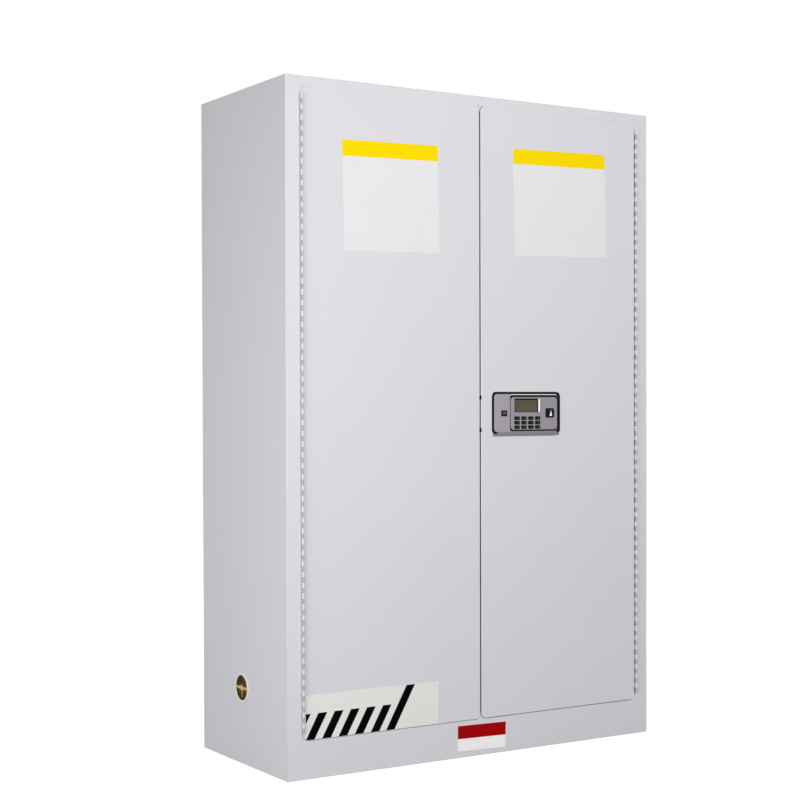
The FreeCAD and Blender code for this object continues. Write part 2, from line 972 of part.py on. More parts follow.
def window_block(front_extra, edge_play):
    """The window's space in the module's face."""
    face_y = front_y - module_proud
    return box(
        window_left + edge_play,
        window_left + window_width - edge_play,
        face_y + front_extra,
        face_y + window_thickness,
        window_bottom + edge_play,
        window_bottom + window_height - edge_play,
    )


def key_back_y():
    return front_y - module_proud - key_proud + key_depth


def key(place):
    x, z = place
    y0 = front_y - module_proud - key_proud
    return chamfered_plate(x, z, key_width, key_height, y0, key_back_y(), key_corner)


def case_front_y():
    return front_y + housing_depth + fold_play


def latch_knob():
    """A square turn knob on a square spindle that reaches into the lock case."""
    y0 = front_y - knob_proud
    y1 = front_y - module_proud - fold_play
    head = chamfered_plate(knob_x, knob_z, knob_width, knob_height, y0, y1, knob_corner)
    head = head.makeChamfer(knob_bevel, edges_at_front(head, y0))
    spindle_end = case_front_y() + case_wall + spindle_reach
    half = spindle_width / 2
    spindle = box(knob_x - half, knob_x + half, y1 - overrun, spindle_end, knob_z - half, knob_z + half)
    return head.fuse(spindle).removeSplitter()


def key_cylinder():
    """The turning plug of the emergency key, with its keyway."""
    y0 = front_y - plate_proud - cylinder_proud
    end = case_front_y() + case_wall + spindle_reach
    start = (cylinder_x, y0, cylinder_z)
    plug = polygon_bar(cylinder_sides, 2 * cylinder_radius, start, (0, 1, 0), end - y0)
    keyway = box(
        cylinder_x - keyway_width / 2,
        cylinder_x + keyway_width / 2,
        y0 - overrun,
        y0 + keyway_depth,
        cylinder_z - keyway_length / 2,
        cylinder_z + keyway_length / 2,
    )
    return plug.cut(keyway)


def lock_case():
    """Steel box behind the lock that guides the rods, the side bolt and both spindles."""
    y0 = case_front_y()
    y1 = liner_front_y - fold_play
    w = case_wall
    case = box(case_left, case_right, y0, y1, case_bottom, case_top)
    case = case.cut(box(case_left + w, case_right - w, y0 + w, y1 - w, case_bottom + w, case_top - w))
    through = w + 2 * overrun
    case = case.cut(spindle_way(y0 - overrun, through)).cut(cylinder_way(y0 - overrun, through))
    for z in (case_bottom, case_top):
        case = case.cut(bar_way(rod_x, z - 2 * w, z + 2 * w, bolt_play))
    return case.cut(side_bolt_slots(case_left - overrun, case_left + w + overrun, bolt_play))


def lock_rod(direction):
    """A flat-bar rod from inside the lock case to the door's end."""
    if direction > 0:
        start = case_top - rod_lap
        end = door_top - bolt_recess
    else:
        start = door_bottom + bolt_recess
        end = case_bottom + rod_lap
    return bar_way(rod_x, start, end, 0)


def side_bolt():
    """Two prongs towards the left-hand door, joined by a bridge inside the lock case."""
    y0, y1 = side_bolt_depths()
    tip = free_edge(1) + sheet / 2
    end = side_bolt_bridge_x + side_bolt_bridge
    half = side_bolt_height / 2
    z0, z1 = side_bolt_heights()
    prongs = [box(tip, end, y0, y1, z - half, z + half) for z in (z0, z1)]
    bridge = box(side_bolt_bridge_x, end, y0, y1, z0, z1)
    return bridge.fuse(prongs).removeSplitter()


def vent_collar(side):
    """A sleeve through both walls with a flange outside, a nut inside and a seat for the arrester."""
    x, y, z = vent_place(side)
    inward = (-side, 0, 0)
    t = vent_flange_thickness
    length = wall + 2 * t
    start = (x + side * t, y, z)
    sleeve = polygon_bar(vent_facets, 2 * (vent_bore_radius + vent_wall), start, inward, length)
    flange = cylinder(vent_flange_radius, start, inward, t)
    nut = polygon_bar(vent_nut_sides, 2 * vent_flange_radius, (x - side * wall, y, z), inward, t)
    collar = sleeve.fuse([flange, nut]).removeSplitter()
    mouth = (x + side * (t + overrun), y, z)
    socket = cylinder(vent_bore_radius, mouth, inward, vent_socket_depth + overrun)
    seat = polygon_bar(vent_facets, 2 * vent_seat_radius, start, inward, length + overrun)
    return collar.cut(socket).cut(seat)


def flame_arrester(side):
    """A brass cup with a mesh across its mouth and a cross grip to draw it out by."""
    x, y, z = vent_place(side)
    mouth_x = x + side * (vent_flange_thickness - vent_socket_depth)
    inward = (-side, 0, 0)
    radius = vent_seat_radius - vent_play
    well = 2 * (radius - arrester_rim)
    cup = polygon_bar(vent_facets, 2 * radius, (mouth_x, y, z), inward, arrester_depth)
    mesh_x = mouth_x - side * (grip_width + arrester_rim)
    front_depth = grip_width + arrester_rim + overrun
    front_start = (mouth_x + side * overrun, y, z)
    front_well = polygon_bar(vent_facets, well, front_start, inward, front_depth)
    back_start = (mesh_x - side * arrester_rim, y, z)
    back_well = polygon_bar(vent_facets, well, back_start, inward, arrester_depth)
    cup = cup.cut(front_well).cut(back_well)
    holes = []
    for row in range(-mesh_rows, mesh_rows + 1):
        for column in range(-mesh_rows, mesh_rows + 1):
            reach = mesh_pitch * math.hypot(row, column) + mesh_hole
            if reach < radius - arrester_rim and row * column != 0:
                holes.append(mesh_opening(mesh_x, y + column * mesh_pitch, z + row * mesh_pitch, side))
    cup = cup.cut(Part.makeCompound(holes))
    grip = cross_grip(mouth_x - side * grip_recess, mesh_x, y, z, side)
    return cup.fuse(grip).removeSplitter()


def mesh_opening(mesh_x, y, z, side):
    half = mesh_hole / 2
    x0 = mesh_x + side * overrun
    x1 = mesh_x - side * (arrester_rim + overrun)
    return box(x0, x1, y - half, y + half, z - half, z + half)


def cross_grip(x0, x1, y, z, side):
    """A level bar across the cup, a short upright and an eight-sided hub."""
    reach = vent_seat_radius - arrester_rim
    half = grip_height / 2
    bar = box(x0, x1, y - reach, y + reach, z - half, z + half)
    rise = reach * upright_share
    upright = box(x0, x1, y - grip_width / 2, y + grip_width / 2, z - rise, z + rise)
    hub = polygon_bar(vent_nut_sides, 2 * grip_hub_radius, (x0, y, z), (-side, 0, 0), abs(x1 - x0))
    return bar.fuse([upright, hub])


def levelling_foot(place):
    """A pad on a stud, screwed up until it just clears the floor."""
    x, y = place
    pad_top = foot_floor_gap + foot_pad_height
    pad = polygon_bar(pad_sides, 2 * foot_pad_radius, (x, y, foot_floor_gap), (0, 0, 1), foot_pad_height)
    top = base_z + foot_nut_height + foot_travel + 2 * sheet
    start = (x, y, pad_top - overrun)
    stud = polygon_bar(stud_sides, 2 * foot_stud_radius, start, (0, 0, 1), top - pad_top + overrun)
    return pad.fuse(stud).removeSplitter()


def all_nodes():
    """Every named piece of the cabinet."""
    nodes = {
        "left_side_panel": side_panel(-1),
        "right_side_panel": side_panel(1),
        "roof_panel": roof_panel(),
        "back_panel": back_panel(),
        "base_pan": base_pan(),
        "plinth_panel": plinth_panel(),
        "top_rail": top_rail(),
        "left_jamb": jamb(-1),
        "right_jamb": jamb(1),
        "left_liner": side_liner(-1),
        "right_liner": side_liner(1),
        "back_liner": back_liner(),
        "roof_liner": roof_liner(),
        "sump_tray": sump_tray(),
        "shelf_strips": shelf_strips(),
        "shelf_clips": shelf_clips(),
        "lower_shelf": shelf(lower_shelf_slot),
        "upper_shelf": shelf(upper_shelf_slot),
        "door_seal": door_seal(),
        "left_hinge_frame_leaf": frame_leaf(-1),
        "right_hinge_frame_leaf": frame_leaf(1),
        "hinge_pins": hinge_pins(),
        "vent_collars": [vent_collar(-1), vent_collar(1)],
        "flame_arresters": [flame_arrester(-1), flame_arrester(1)],
        "left_door_skin": left_door_skin(),
        "left_door_liner": left_door_liner(),
        "left_hinge_door_leaf": door_leaf(-1),
        "left_top_bolt": flush_bolt(1),
        "left_bottom_bolt": flush_bolt(-1),
        "flush_bolt_guides": flush_bolt_guides(),
        "strike_plate": strike_plate(),
        "right_door_skin": right_door_skin(),
        "right_door_liner": door_liner(1),
        "right_hinge_door_leaf": door_leaf(1),
        "lock_gasket": lock_gasket(),
        "lock_housing": lock_housing(),
        "keypad_panel": keypad_panel(),
        "display_window": window_block(0, 0),
        "latch_knob": latch_knob(),
        "key_cylinder": key_cylinder(),
        "lock_case": lock_case(),
        "top_rod": lock_rod(1),
        "bottom_rod": lock_rod(-1),
        "side_bolt": side_bolt(),
    }
    for corner, place in foot_places().items():
        nodes["foot_" + corner] = levelling_foot(place)
    for number, place in enumerate(key_places(), 1):
        nodes["key_%02d" % number] = key(place)
    return nodes


def main():
    os.makedirs("parts", exist_ok=True)
    for name, shape in all_nodes().items():
        if isinstance(shape, list):
            shape = Part.makeCompound(shape)
        shape.exportStep("parts/" + name + ".step")


main()
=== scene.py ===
import math

import bmesh
import bpy
from mathutils import Matrix, Vector
from mathutils.geometry import tessellate_polygon


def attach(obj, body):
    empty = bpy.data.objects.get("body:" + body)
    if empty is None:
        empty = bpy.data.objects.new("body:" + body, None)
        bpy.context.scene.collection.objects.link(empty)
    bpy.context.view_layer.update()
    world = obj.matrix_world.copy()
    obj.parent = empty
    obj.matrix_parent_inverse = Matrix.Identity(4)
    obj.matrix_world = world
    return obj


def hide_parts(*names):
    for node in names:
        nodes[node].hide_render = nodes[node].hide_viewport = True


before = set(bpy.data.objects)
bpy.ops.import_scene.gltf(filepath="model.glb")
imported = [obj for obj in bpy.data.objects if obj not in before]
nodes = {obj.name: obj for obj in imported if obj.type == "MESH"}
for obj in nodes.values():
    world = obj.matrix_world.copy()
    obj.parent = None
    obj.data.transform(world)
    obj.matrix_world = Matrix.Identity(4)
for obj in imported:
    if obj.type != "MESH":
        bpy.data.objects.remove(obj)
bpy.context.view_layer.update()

# Sizes in millimetres, in the row frame: +X right, -Y the front, +Z up.
FRONT_Y = -223.0
HALF_WIDTH = 545.0

JAMB_X = 506.0
DOOR_X = 503.0
DOOR_FREE_EDGE = {-1: 2.0, 1: 6.0}
DOOR_BOTTOM = 92.5
DOOR_TOP = 1626.3
DOOR_CORNER = 12.0
DOOR_BEVEL = 2.0
SILL_Z = 90.5
HEAD_Z = 1627.0

HINGE_X = 504.5
HINGE_Y = FRONT_Y - 4.8
DOOR_ROLL_RADIUS = 3.4
FRAME_ROLL_RADIUS = 2.5
LEAF_FRONT = 4.1
LEAF_NOTCH = 4.4
LEAF_THICKNESS = 1.2
LEAF_OUTER = 1.5
KNUCKLE_PITCH = 12.7
KNUCKLE_PLAY = 0.3
KNUCKLE_COUNT = 118
HINGE_BOTTOM = 859.4 - KNUCKLE_COUNT * KNUCKLE_PITCH / 2
PIN_RADIUS = 1.7
LEAF_DEPTH = 30.0

MODULE_FACE = FRONT_Y - 6.5
PLATE_FACE = FRONT_Y - 5.0
KEY_FIRST = (112.0, 845.5)
KEY_PITCH = (21.6, 11.3)
KEY_SIZE = (16.6, 8.6)
KEY_MARKS = "1234567890*#"


def mm(x, y, z):
    return Vector((x, y, z)) / 1000


# Camera, floor and light

def camera_at(place, yaw, pitch, roll, focal_pixels, drop_pixels):
    """A camera that repeats the photograph's view, with the frame 800 pixels wide."""
    forward = Vector((math.sin(-yaw) * math.cos(pitch), math.cos(yaw) * math.cos(pitch), math.sin(pitch)))
    level = forward.cross(Vector((0, 0, 1))).normalized()
    upright = level.cross(forward)
    right = level * math.cos(roll) + upright * math.sin(roll)
    up = upright * math.cos(roll) - level * math.sin(roll)
    data = bpy.data.cameras.new("camera")
    data.sensor_width = 36.0
    data.lens = focal_pixels * 36.0 / 800
    data.shift_y = drop_pixels / 800
    camera = bpy.data.objects.new("camera", data)
    bpy.context.scene.collection.objects.link(camera)
    turn = Matrix((right, up, -forward)).transposed().to_4x4()
    camera.matrix_world = Matrix.Translation(mm(*place)) @ turn
    bpy.context.scene.camera = camera


def linear(colour):
    """An sRGB hex colour as a linear one."""
    channels = []
    for start in (1, 3, 5):
        value = int(colour[start:start + 2], 16) / 255
        channels.append(value / 12.92 if value <= 0.04045 else ((value + 0.055) / 1.055) ** 2.4)
    return (*channels, 1.0)


def add(tree, kind, settings=None, links=None):
    """Adds a node; each input gets a value, or a link where an output is given."""
    node = tree.nodes.new(kind)
    for name, value in (settings or {}).items():
        setattr(node, name, value)
    for name, value in (links or {}).items():
        if isinstance(value, bpy.types.NodeSocket):
            tree.links.new(value, node.inputs[name])
        else:
            node.inputs[name].default_value = value
    return node


def seen_directly(tree):
    """1 where a camera, mirror or glass ray arrives."""
    path = add(tree, "ShaderNodeLightPath")
    either = add(tree, "ShaderNodeMath", {"operation": "MAXIMUM"},
                 {0: path.outputs["Is Camera Ray"], 1: path.outputs["Is Glossy Ray"]})
    return add(tree, "ShaderNodeMath", {"operation": "MAXIMUM"},
               {0: either.outputs[0], 1: path.outputs["Is Transmission Ray"]}).outputs[0]


def studio_world(level):
    world = bpy.data.worlds.new("studio")
    bpy.context.scene.world = world
    world.use_nodes = True
    tree = world.node_tree
    tree.nodes.clear()
    fill = add(tree, "ShaderNodeBackground", {}, {"Color": linear("#FFFFFF"), "Strength": level})
    white = add(tree, "ShaderNodeBackground", {}, {"Color": linear("#FFFFFF"), "Strength": 1.0})
    mix = add(tree, "ShaderNodeMixShader", {}, {0: seen_directly(tree), 1: fill.outputs[0], 2: white.outputs[0]})
    add(tree, "ShaderNodeOutputWorld", {}, {"Surface": mix.outputs[0]})


def studio_floor():
    """Pale matt floor that turns white to the eye and keeps a soft shadow."""
    bm = bmesh.new()
    corners = [(-9, -9, -0.0004), (9, -9, -0.0004), (9, 9, -0.0004), (-9, 9, -0.0004)]
    bm.faces.new([bm.verts.new(corner) for corner in corners])
    mesh = bpy.data.meshes.new("floor")
    bm.to_mesh(mesh)
    bm.free()
    floor = bpy.data.objects.new("floor", mesh)
    bpy.context.scene.collection.objects.link(floor)
    material = bpy.data.materials.new("pale_floor")
    material.use_nodes = True
    tree = material.node_tree
    tree.nodes.clear()
    paint = add(tree, "ShaderNodeBsdfDiffuse", {}, {"Color": linear("#939393")})
    glow = add(tree, "ShaderNodeEmission", {}, {"Color": linear("#FFFFFF"), "Strength": 0.92})
    both = add(tree, "ShaderNodeAddShader", {}, {0: paint.outputs[0], 1: glow.outputs[0]})
    mix = add(tree, "ShaderNodeMixShader", {}, {0: seen_directly(tree), 1: paint.outputs[0], 2: both.outputs[0]})
    add(tree, "ShaderNodeOutputMaterial", {}, {"Surface": mix.outputs[0]})
    mesh.materials.append(material)


def soft_lamp(name, place, target, width, height, power, mirrored=True):
    """A square of light; mirrored tells whether glossy surfaces show its image."""
    data = bpy.data.lights.new(name, "AREA")
    data.shape = "RECTANGLE"
    data.size = width
    data.size_y = height
    data.energy = power
    lamp = bpy.data.objects.new(name, data)
    bpy.context.scene.collection.objects.link(lamp)
    lamp.location = place
    lamp.rotation_euler = (Vector(target) - Vector(place)).to_track_quat("-Z", "Y").to_euler()
    lamp.visible_glossy = mirrored


# Materials

def surface(name, links, bump=None):
    """A material with one physical surface; links give its values and textures."""
    material = bpy.data.materials.new(name)
    material.use_nodes = True
    tree = material.node_tree
    tree.nodes.clear()
    place = add(tree, "ShaderNodeTexCoord").outputs["Object"]
    shader = add(tree, "ShaderNodeBsdfPrincipled")
    for socket, value in links.items():
        if callable(value):
            tree.links.new(value(tree, place), shader.inputs[socket])
        else:
            shader.inputs[socket].default_value = value
    if bump:
        tree.links.new(bump(tree, place), shader.inputs["Normal"])
    add(tree, "ShaderNodeOutputMaterial", {}, {"Surface": shader.outputs[0]})
    return material


def cloudy(size_mm, low, high, detail=2.0, stretch=(1, 1, 1)):
    """A value or colour that drifts between two limits over a real size."""
    def build(tree, place):
        scaled = add(tree, "ShaderNodeMapping", {}, {"Vector": place, "Scale": stretch})
        noise = add(tree, "ShaderNodeTexNoise", {},
                    {"Vector": scaled.outputs[0], "Scale": 1000 / size_mm, "Detail": detail})
        if isinstance(low, str):
            mix = add(tree, "ShaderNodeMix", {"data_type": "RGBA"},
                      {0: noise.outputs["Fac"], 6: linear(low), 7: linear(high)})
            return mix.outputs[2]
        span = add(tree, "ShaderNodeMapRange", {},
                   {"Value": noise.outputs["Fac"], "To Min": low, "To Max": high})
        return span.outputs["Result"]
    return build


def relief(size_mm, height_mm, strength, detail=1.0, stretch=(1, 1, 1)):
    """Fine relief from noise of a real grain size and height."""
    def build(tree, place):
        scaled = add(tree, "ShaderNodeMapping", {}, {"Vector": place, "Scale": stretch})
        noise = add(tree, "ShaderNodeTexNoise", {},
                    {"Vector": scaled.outputs[0], "Scale": 1000 / size_mm, "Detail": detail})
        bump = add(tree, "ShaderNodeBump", {},
                   {"Height": noise.outputs["Fac"], "Distance": height_mm / 1000, "Strength": strength})
        return bump.outputs[0]
    return build


def powder_coated_steel():
    """Polyester powder baked on sheet steel: pale lilac grey, satin, with a fine orange peel."""
    return surface("powder_coated_steel", {
        "Base Color": cloudy(350, "#D8D7DC", "#DCDBE0"),
        "Roughness": cloudy(60, 0.36, 0.44),
        "IOR": 1.5,
    }, relief(2.4, 0.03, 0.25))


def coated_hinge_steel():
    """The same powder on rolled knuckles, a little glossier where it has run round the bend."""
    return surface("coated_hinge_steel", {
        "Base Color": cloudy(40, "#D6D5DA", "#DEDDE2"),
        "Roughness": cloudy(20, 0.28, 0.38),
        "IOR": 1.5,
    }, relief(1.5, 0.02, 0.2))


def hinge_steel_painted_shade():
    """Darker grey, dull finish on the frame leaves: painted shade, so their knuckles read a shade darker than the
    coated knuckles beside them.
    """
    return surface("hinge_steel_painted_shade", {
        "Base Color": cloudy(30, "#B0AFB4", "#BAB9BE"),
        "Roughness": 0.6,
        "Specular IOR Level": 0.15,
    })


def zinc_plated_steel():
    """Bright zinc plating: cool grey metal with a soft, slightly clouded shine."""
    return surface("zinc_plated_steel", {
        "Base Color": cloudy(18, "#B4B7BA", "#C6C8CA"),
        "Metallic": 1.0,
        "Roughness": cloudy(9, 0.28, 0.42),
    }, relief(3.0, 0.01, 0.2))


def moulded_rubber():
    """Extruded black rubber: dull, with a faint bloom."""
    return surface("moulded_rubber", {
        "Base Color": cloudy(12, "#0C0C0D", "#131315"),
        "Roughness": cloudy(8, 0.58, 0.74),
        "Specular IOR Level": 0.08,
    }, relief(0.8, 0.02, 0.3))


def cast_brass():
    """Cast and turned brass: warm yellow metal that drifts in patches between brighter and duller."""
    return surface("cast_brass", {
        "Base Color": cloudy(6, "#A9803F", "#D2A967"),
        "Metallic": 1.0,
        "Roughness": cloudy(4, 0.22, 0.42),
    }, relief(1.2, 0.03, 0.3))


def dark_olive_brass_mesh():
    """Woven brass wire in a dark olive brown, with a little metal showing."""
    return surface("dark_olive_brass_mesh", {
        "Base Color": cloudy(7, "#2C2612", "#6A5C34"),
        "Metallic": 0.85,
        "Roughness": cloudy(5, 0.4, 0.6),
    })


def cream_enamel():
    """Stoved enamel on the vent collar: warm white with a soft gloss."""
    return surface("cream_enamel", {
        "Base Color": cloudy(20, "#E4E1D6", "#ECE9DF"),
        "Roughness": cloudy(10, 0.26, 0.36),
        "IOR": 1.5,
    }, relief(3.0, 0.02, 0.2))


def silver_lacquered_abs(name, colour, shade):
    """Moulded ABS sprayed with silver lacquer: mauve grey, finely flaked, half matt."""
    return surface(name, {
        "Base Color": cloudy(0.9, colour, shade, 3.0),
        "Metallic": 0.25,
        "Roughness": cloudy(5, 0.36, 0.46),
        "IOR": 1.53,
    }, relief(0.5, 0.01, 0.15))


def black_abs():
    """Black moulded ABS with a polished tool face: deep black, clean highlights."""
    return surface("black_abs", {
        "Base Color": cloudy(15, "#0A0A0B", "#101012"),
        "Roughness": cloudy(6, 0.2, 0.3),
        "Specular IOR Level": 0.1,
    }, relief(0.6, 0.01, 0.12))


def silicone_key():
    """Moulded silicone keys: black, smooth, softly shining on their crowns."""
    return surface("silicone_key", {
        "Base Color": cloudy(4, "#0A0A0B", "#121213"),
        "Roughness": cloudy(3, 0.34, 0.46),
        "Specular IOR Level": 0.1,
    }, relief(0.4, 0.01, 0.15))


def liquid_crystal_glass():
    """A liquid crystal display behind clear acrylic: dark olive, glossy, faintly uneven."""
    return surface("liquid_crystal_glass", {
        "Base Color": cloudy(24, "#504A37", "#58513B"),
        "Roughness": cloudy(30, 0.08, 0.14),
        "Specular IOR Level": 0.3,
    })


def nickel_plate():
    """Bright nickel in the plug's keyway, and on a tiny tab beside it and a bar along the plate's top edge laid as
    painted highlights: near white metal with a sharp shine.
    """
    return surface("nickel_plate", {
        "Base Color": cloudy(3, "#DEDCD6", "#EFEDE8"),
        "Metallic": 1.0,
        "Roughness": cloudy(2, 0.18, 0.28),
    })


def polished_chrome():
    """Polished chromium on the knob's pointer, and on the display recess's right slope as a painted highlight: near
    white mirror metal that takes the room's light.
    """
    return surface("polished_chrome", {
        "Base Color": cloudy(5, "#F4F3F1", "#FAFAF8"),
        "Metallic": 1.0,
        "Roughness": cloudy(3, 0.1, 0.16),
    })


def printed_vinyl(name, colour, shade, shine=0.1):
    """Printed vinyl film: deep even ink, little gloss, with the faint ripple of film laid by hand."""
    return surface(name, {
        "Base Color": cloudy(30, colour, shade),
        "Roughness": cloudy(25, 0.3, 0.4),
        "Specular IOR Level": shine,
    }, relief(9.0, 0.02, 0.3))


# Mesh tools

def rounded_ring(x0, x1, z0, z1, radius, y, steps=6):
    """Points of an upright rectangle with round corners, anticlockwise from the front."""
    ring = []
    corners = [(x1 - radius, z0 + radius, -90), (x1 - radius, z1 - radius, 0),
               (x0 + radius, z1 - radius, 90), (x0 + radius, z0 + radius, 180)]
    for x, z, start in corners:
        for step in range(steps + 1):
            angle = math.radians(start + 90 * step / steps)
            ring.append(mm(x + radius * math.cos(angle), y, z + radius * math.sin(angle)))
    return ring


def loft(bm, rings, close=True, finish=0, caps=(True, True)):
    """Skins a run of rings that have the same number of points; returns their vertices."""
    loops = [[bm.verts.new(point) for point in ring] for ring in rings]
    count = len(rings[0])
    for lower, upper in zip(loops, loops[1:]):
        for i in range(count if close else count - 1):
            j = (i + 1) % count
            bm.faces.new((lower[i], lower[j], upper[j], upper[i])).material_index = finish
    for end, loop in ((0, loops[0]), (1, loops[-1])):
        if caps[end]:
            bm.faces.new(loop).material_index = finish
    return loops


def tube(bm, rings, finish=0):
    """Skins rings that run through a hole and back to the first one."""
    loops = loft(bm, rings, True, finish, (False, False))
    count = len(loops[0])
    for i in range(count):
        j = (i + 1) % count
        bm.faces.new((loops[-1][i], loops[-1][j], loops[0][j], loops[0][i])).material_index = finish


def pierced_face(bm, outer, holes, finish=0):
    """A flat face between an outer loop of vertices and the loops of its holes."""
    loops = [outer] + holes
    flat = [vertex for loop in loops for vertex in loop]
    for triangle in tessellate_polygon([[vertex.co for vertex in loop] for loop in loops]):
        corners = [flat[i] for i in triangle]
        if len(set(corners)) == 3:
            bm.faces.new(corners).material_index = finish


def turned(bm, profile, centre, axis, steps=48, finish=0):
    """A lathe-turned solid: profile gives distance along the axis and radius, in mm."""
    axis = Vector(axis).normalized()
    side = axis.orthogonal().normalized()
    other = axis.cross(side)
    rings = []
    for along, radius in profile:
        ring = []
        for step in range(steps):
            angle = 2 * math.pi * step / steps
            out = side * math.cos(angle) + other * math.sin(angle)
            ring.append(mm(*centre) + (axis * along + out * radius) / 1000)
        rings.append(ring)
    return loft(bm, rings, True, finish)


def block(bm, x0, x1, y0, y1, z0, z1, edge=0.0, finish=0):
    """A rectangular bar with its edges eased all round."""
    made = bmesh.ops.create_cube(bm, size=1.0)["verts"]
    size = mm(x1 - x0, y1 - y0, z1 - z0)
    centre = mm(x0 + x1, y0 + y1, z0 + z1) / 2
    for vertex in made:
        vertex.co = Vector((vertex.co.x * size.x, vertex.co.y * size.y, vertex.co.z * size.z)) + centre
    faces = {face for vertex in made for face in vertex.link_faces}
    for face in faces:
        face.material_index = finish
    if edge:
        edges = {e for face in faces for e in face.edges}
        bmesh.ops.bevel(bm, geom=list(edges), offset=edge / 1000, segments=2, affect="EDGES", profile=0.5,
                        material=finish)


def face_near(bm, x, y, z):
    """The four-sided face whose middle lies nearest to a place."""
    place = mm(x, y, z)
    return min((f for f in bm.faces if len(f.verts) == 4), key=lambda f: (f.calc_center_median() - place).length)


def make_piece(name, bm, finishes, body, replaced=(), sharp=35):
    """Turns the mesh into a named piece that rides on a body."""
    bmesh.ops.recalc_face_normals(bm, faces=bm.faces)
    mesh = bpy.data.meshes.new(name)
    bm.to_mesh(mesh)
    bm.free()
    for finish in finishes:
        mesh.materials.append(finish)
    mesh.shade_smooth()
    mesh.set_sharp_from_angle(angle=math.radians(sharp))
    piece = bpy.data.objects.new(name, mesh)
    bpy.context.scene.collection.objects.link(piece)
    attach(piece, body)
    if replaced:
        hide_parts(*replaced)
    return piece


# Hinges

def knuckle_rings(hand, roll, z0, z1):
    """Rings of one rolled knuckle, from bottom to top, its ends eased; hand is the leaf's side of the axis."""
    steps = 22
    reach = math.hypot(LEAF_OUTER, LEAF_FRONT)
    start = math.atan2(LEAF_FRONT, LEAF_OUTER) - math.acos(roll / reach)
    end = math.radians(87 - 360)
    inner = LEAF_OUTER - LEAF_THICKNESS
    ease = 0.3
    rings = []
    for z, less in ((z0, ease), (z0 + ease, 0.0), (z1 - ease, 0.0), (z1, ease)):
        ring = []
        for step in range(steps + 1):
            angle = start + (end - start) * step / steps
            radius = roll - less
            ring.append((radius * math.cos(angle), radius * math.sin(angle), z))
        ring.append((inner, LEAF_FRONT, z))
        ring.append((LEAF_OUTER, LEAF_FRONT, z))
        rings.append(ring)
    for z in (z1, z0):
        ring = []
        for u, v, _ in rings[0]:
            scale = (PIN_RADIUS + 0.05) / math.hypot(u, v)
            ring.append((u * scale, v * scale, z))
        rings.append(ring)
    return [[(hand * u, v, z) for u, v, z in ring] for ring in rings]


def hinge_leaf(name, side, hand, roll, first, body, finish):
    """One leaf of a continuous hinge: a comb of knuckles of radius roll, notched back between them."""
    bm = bmesh.new()
    top = HINGE_BOTTOM + KNUCKLE_COUNT * KNUCKLE_PITCH
    teeth = []
    for n in range(first, KNUCKLE_COUNT, 2):
        z0 = HINGE_BOTTOM + n * KNUCKLE_PITCH + KNUCKLE_PLAY / 2
        teeth.append((z0, z0 + KNUCKLE_PITCH - KNUCKLE_PLAY))
    back = LEAF_FRONT + LEAF_DEPTH
    notch = LEAF_FRONT + LEAF_NOTCH
    outline = [(back, top), (back, HINGE_BOTTOM), (notch, HINGE_BOTTOM)]
    for z0, z1 in teeth:
        if z0 - outline[-1][1] > 1.0:
            outline.append((notch, z0))
        else:
            outline[-1] = (notch, z0)
        outline += [(LEAF_FRONT, z0), (LEAF_FRONT, z1), (notch, z1)]
    if top - outline[-1][1] > 1.0:
        outline.append((notch, top))
    rings = []
    for u in (hand * LEAF_OUTER, hand * (LEAF_OUTER - LEAF_THICKNESS)):
        rings.append([mm(side * (HINGE_X + u), HINGE_Y + v, z) for v, z in outline])
    loft(bm, rings)
    for z0, z1 in teeth:
        rings = []
        for ring in knuckle_rings(hand, roll, z0, z1):
            rings.append([mm(side * (HINGE_X + u), HINGE_Y + v, z) for u, v, z in ring])
        tube(bm, rings)
    make_piece(name + "_rolled", bm, [finish], body, [name])


def hinge_pins(finish):
    """Both pins, with domed ends just inside the outer knuckles."""
    bm = bmesh.new()
    length = KNUCKLE_COUNT * KNUCKLE_PITCH
    profile = [(0, 0.9), (0.3, 1.4), (0.8, PIN_RADIUS), (length - 0.8, PIN_RADIUS),
               (length - 0.3, 1.4), (length, 0.9)]
    for side in (-1, 1):
        turned(bm, profile, (side * HINGE_X, HINGE_Y, HINGE_BOTTOM), (0, 0, 1), 20)
    make_piece("hinge_pins_turned", bm, [finish], "carcass", ["hinge_pins"])


# Lock

def softened(x0, x1, z0, z1, radius, y, edge):
    """Rings that turn the front edge of an upright plate over a small radius."""
    rings = [rounded_ring(x0, x1, z0, z1, radius, y + edge)]
    for step in (1, 2, 3):
        angle = math.pi / 2 * step / 3
        cut = edge * (1 - math.cos(angle))
        rings.append(rounded_ring(x0 + cut, x1 - cut, z0 + cut, z1 - cut, radius - cut, y + edge * (1 - math.sin(angle))))
    return rings


def lock_edging(finish):
    """Thin black edging round the plate, wider on the side towards the hinge."""
    bm = bmesh.new()
    outer = (38.4, 252.8, 804.8, 912.5)
    inner = (43.6, 240.4, 808.6, 907.3)
    face = FRONT_Y - 1.0
    rings = [rounded_ring(*outer, 12, FRONT_Y)] + softened(*outer, 12, face, 0.5)
    rings.append(rounded_ring(*inner, 8.5, face))
    rings.append(rounded_ring(*inner, 8.5, FRONT_Y + 9.0))
    tube(bm, rings)
    make_piece("lock_edging", bm, [finish], "right_door", ["lock_gasket"])


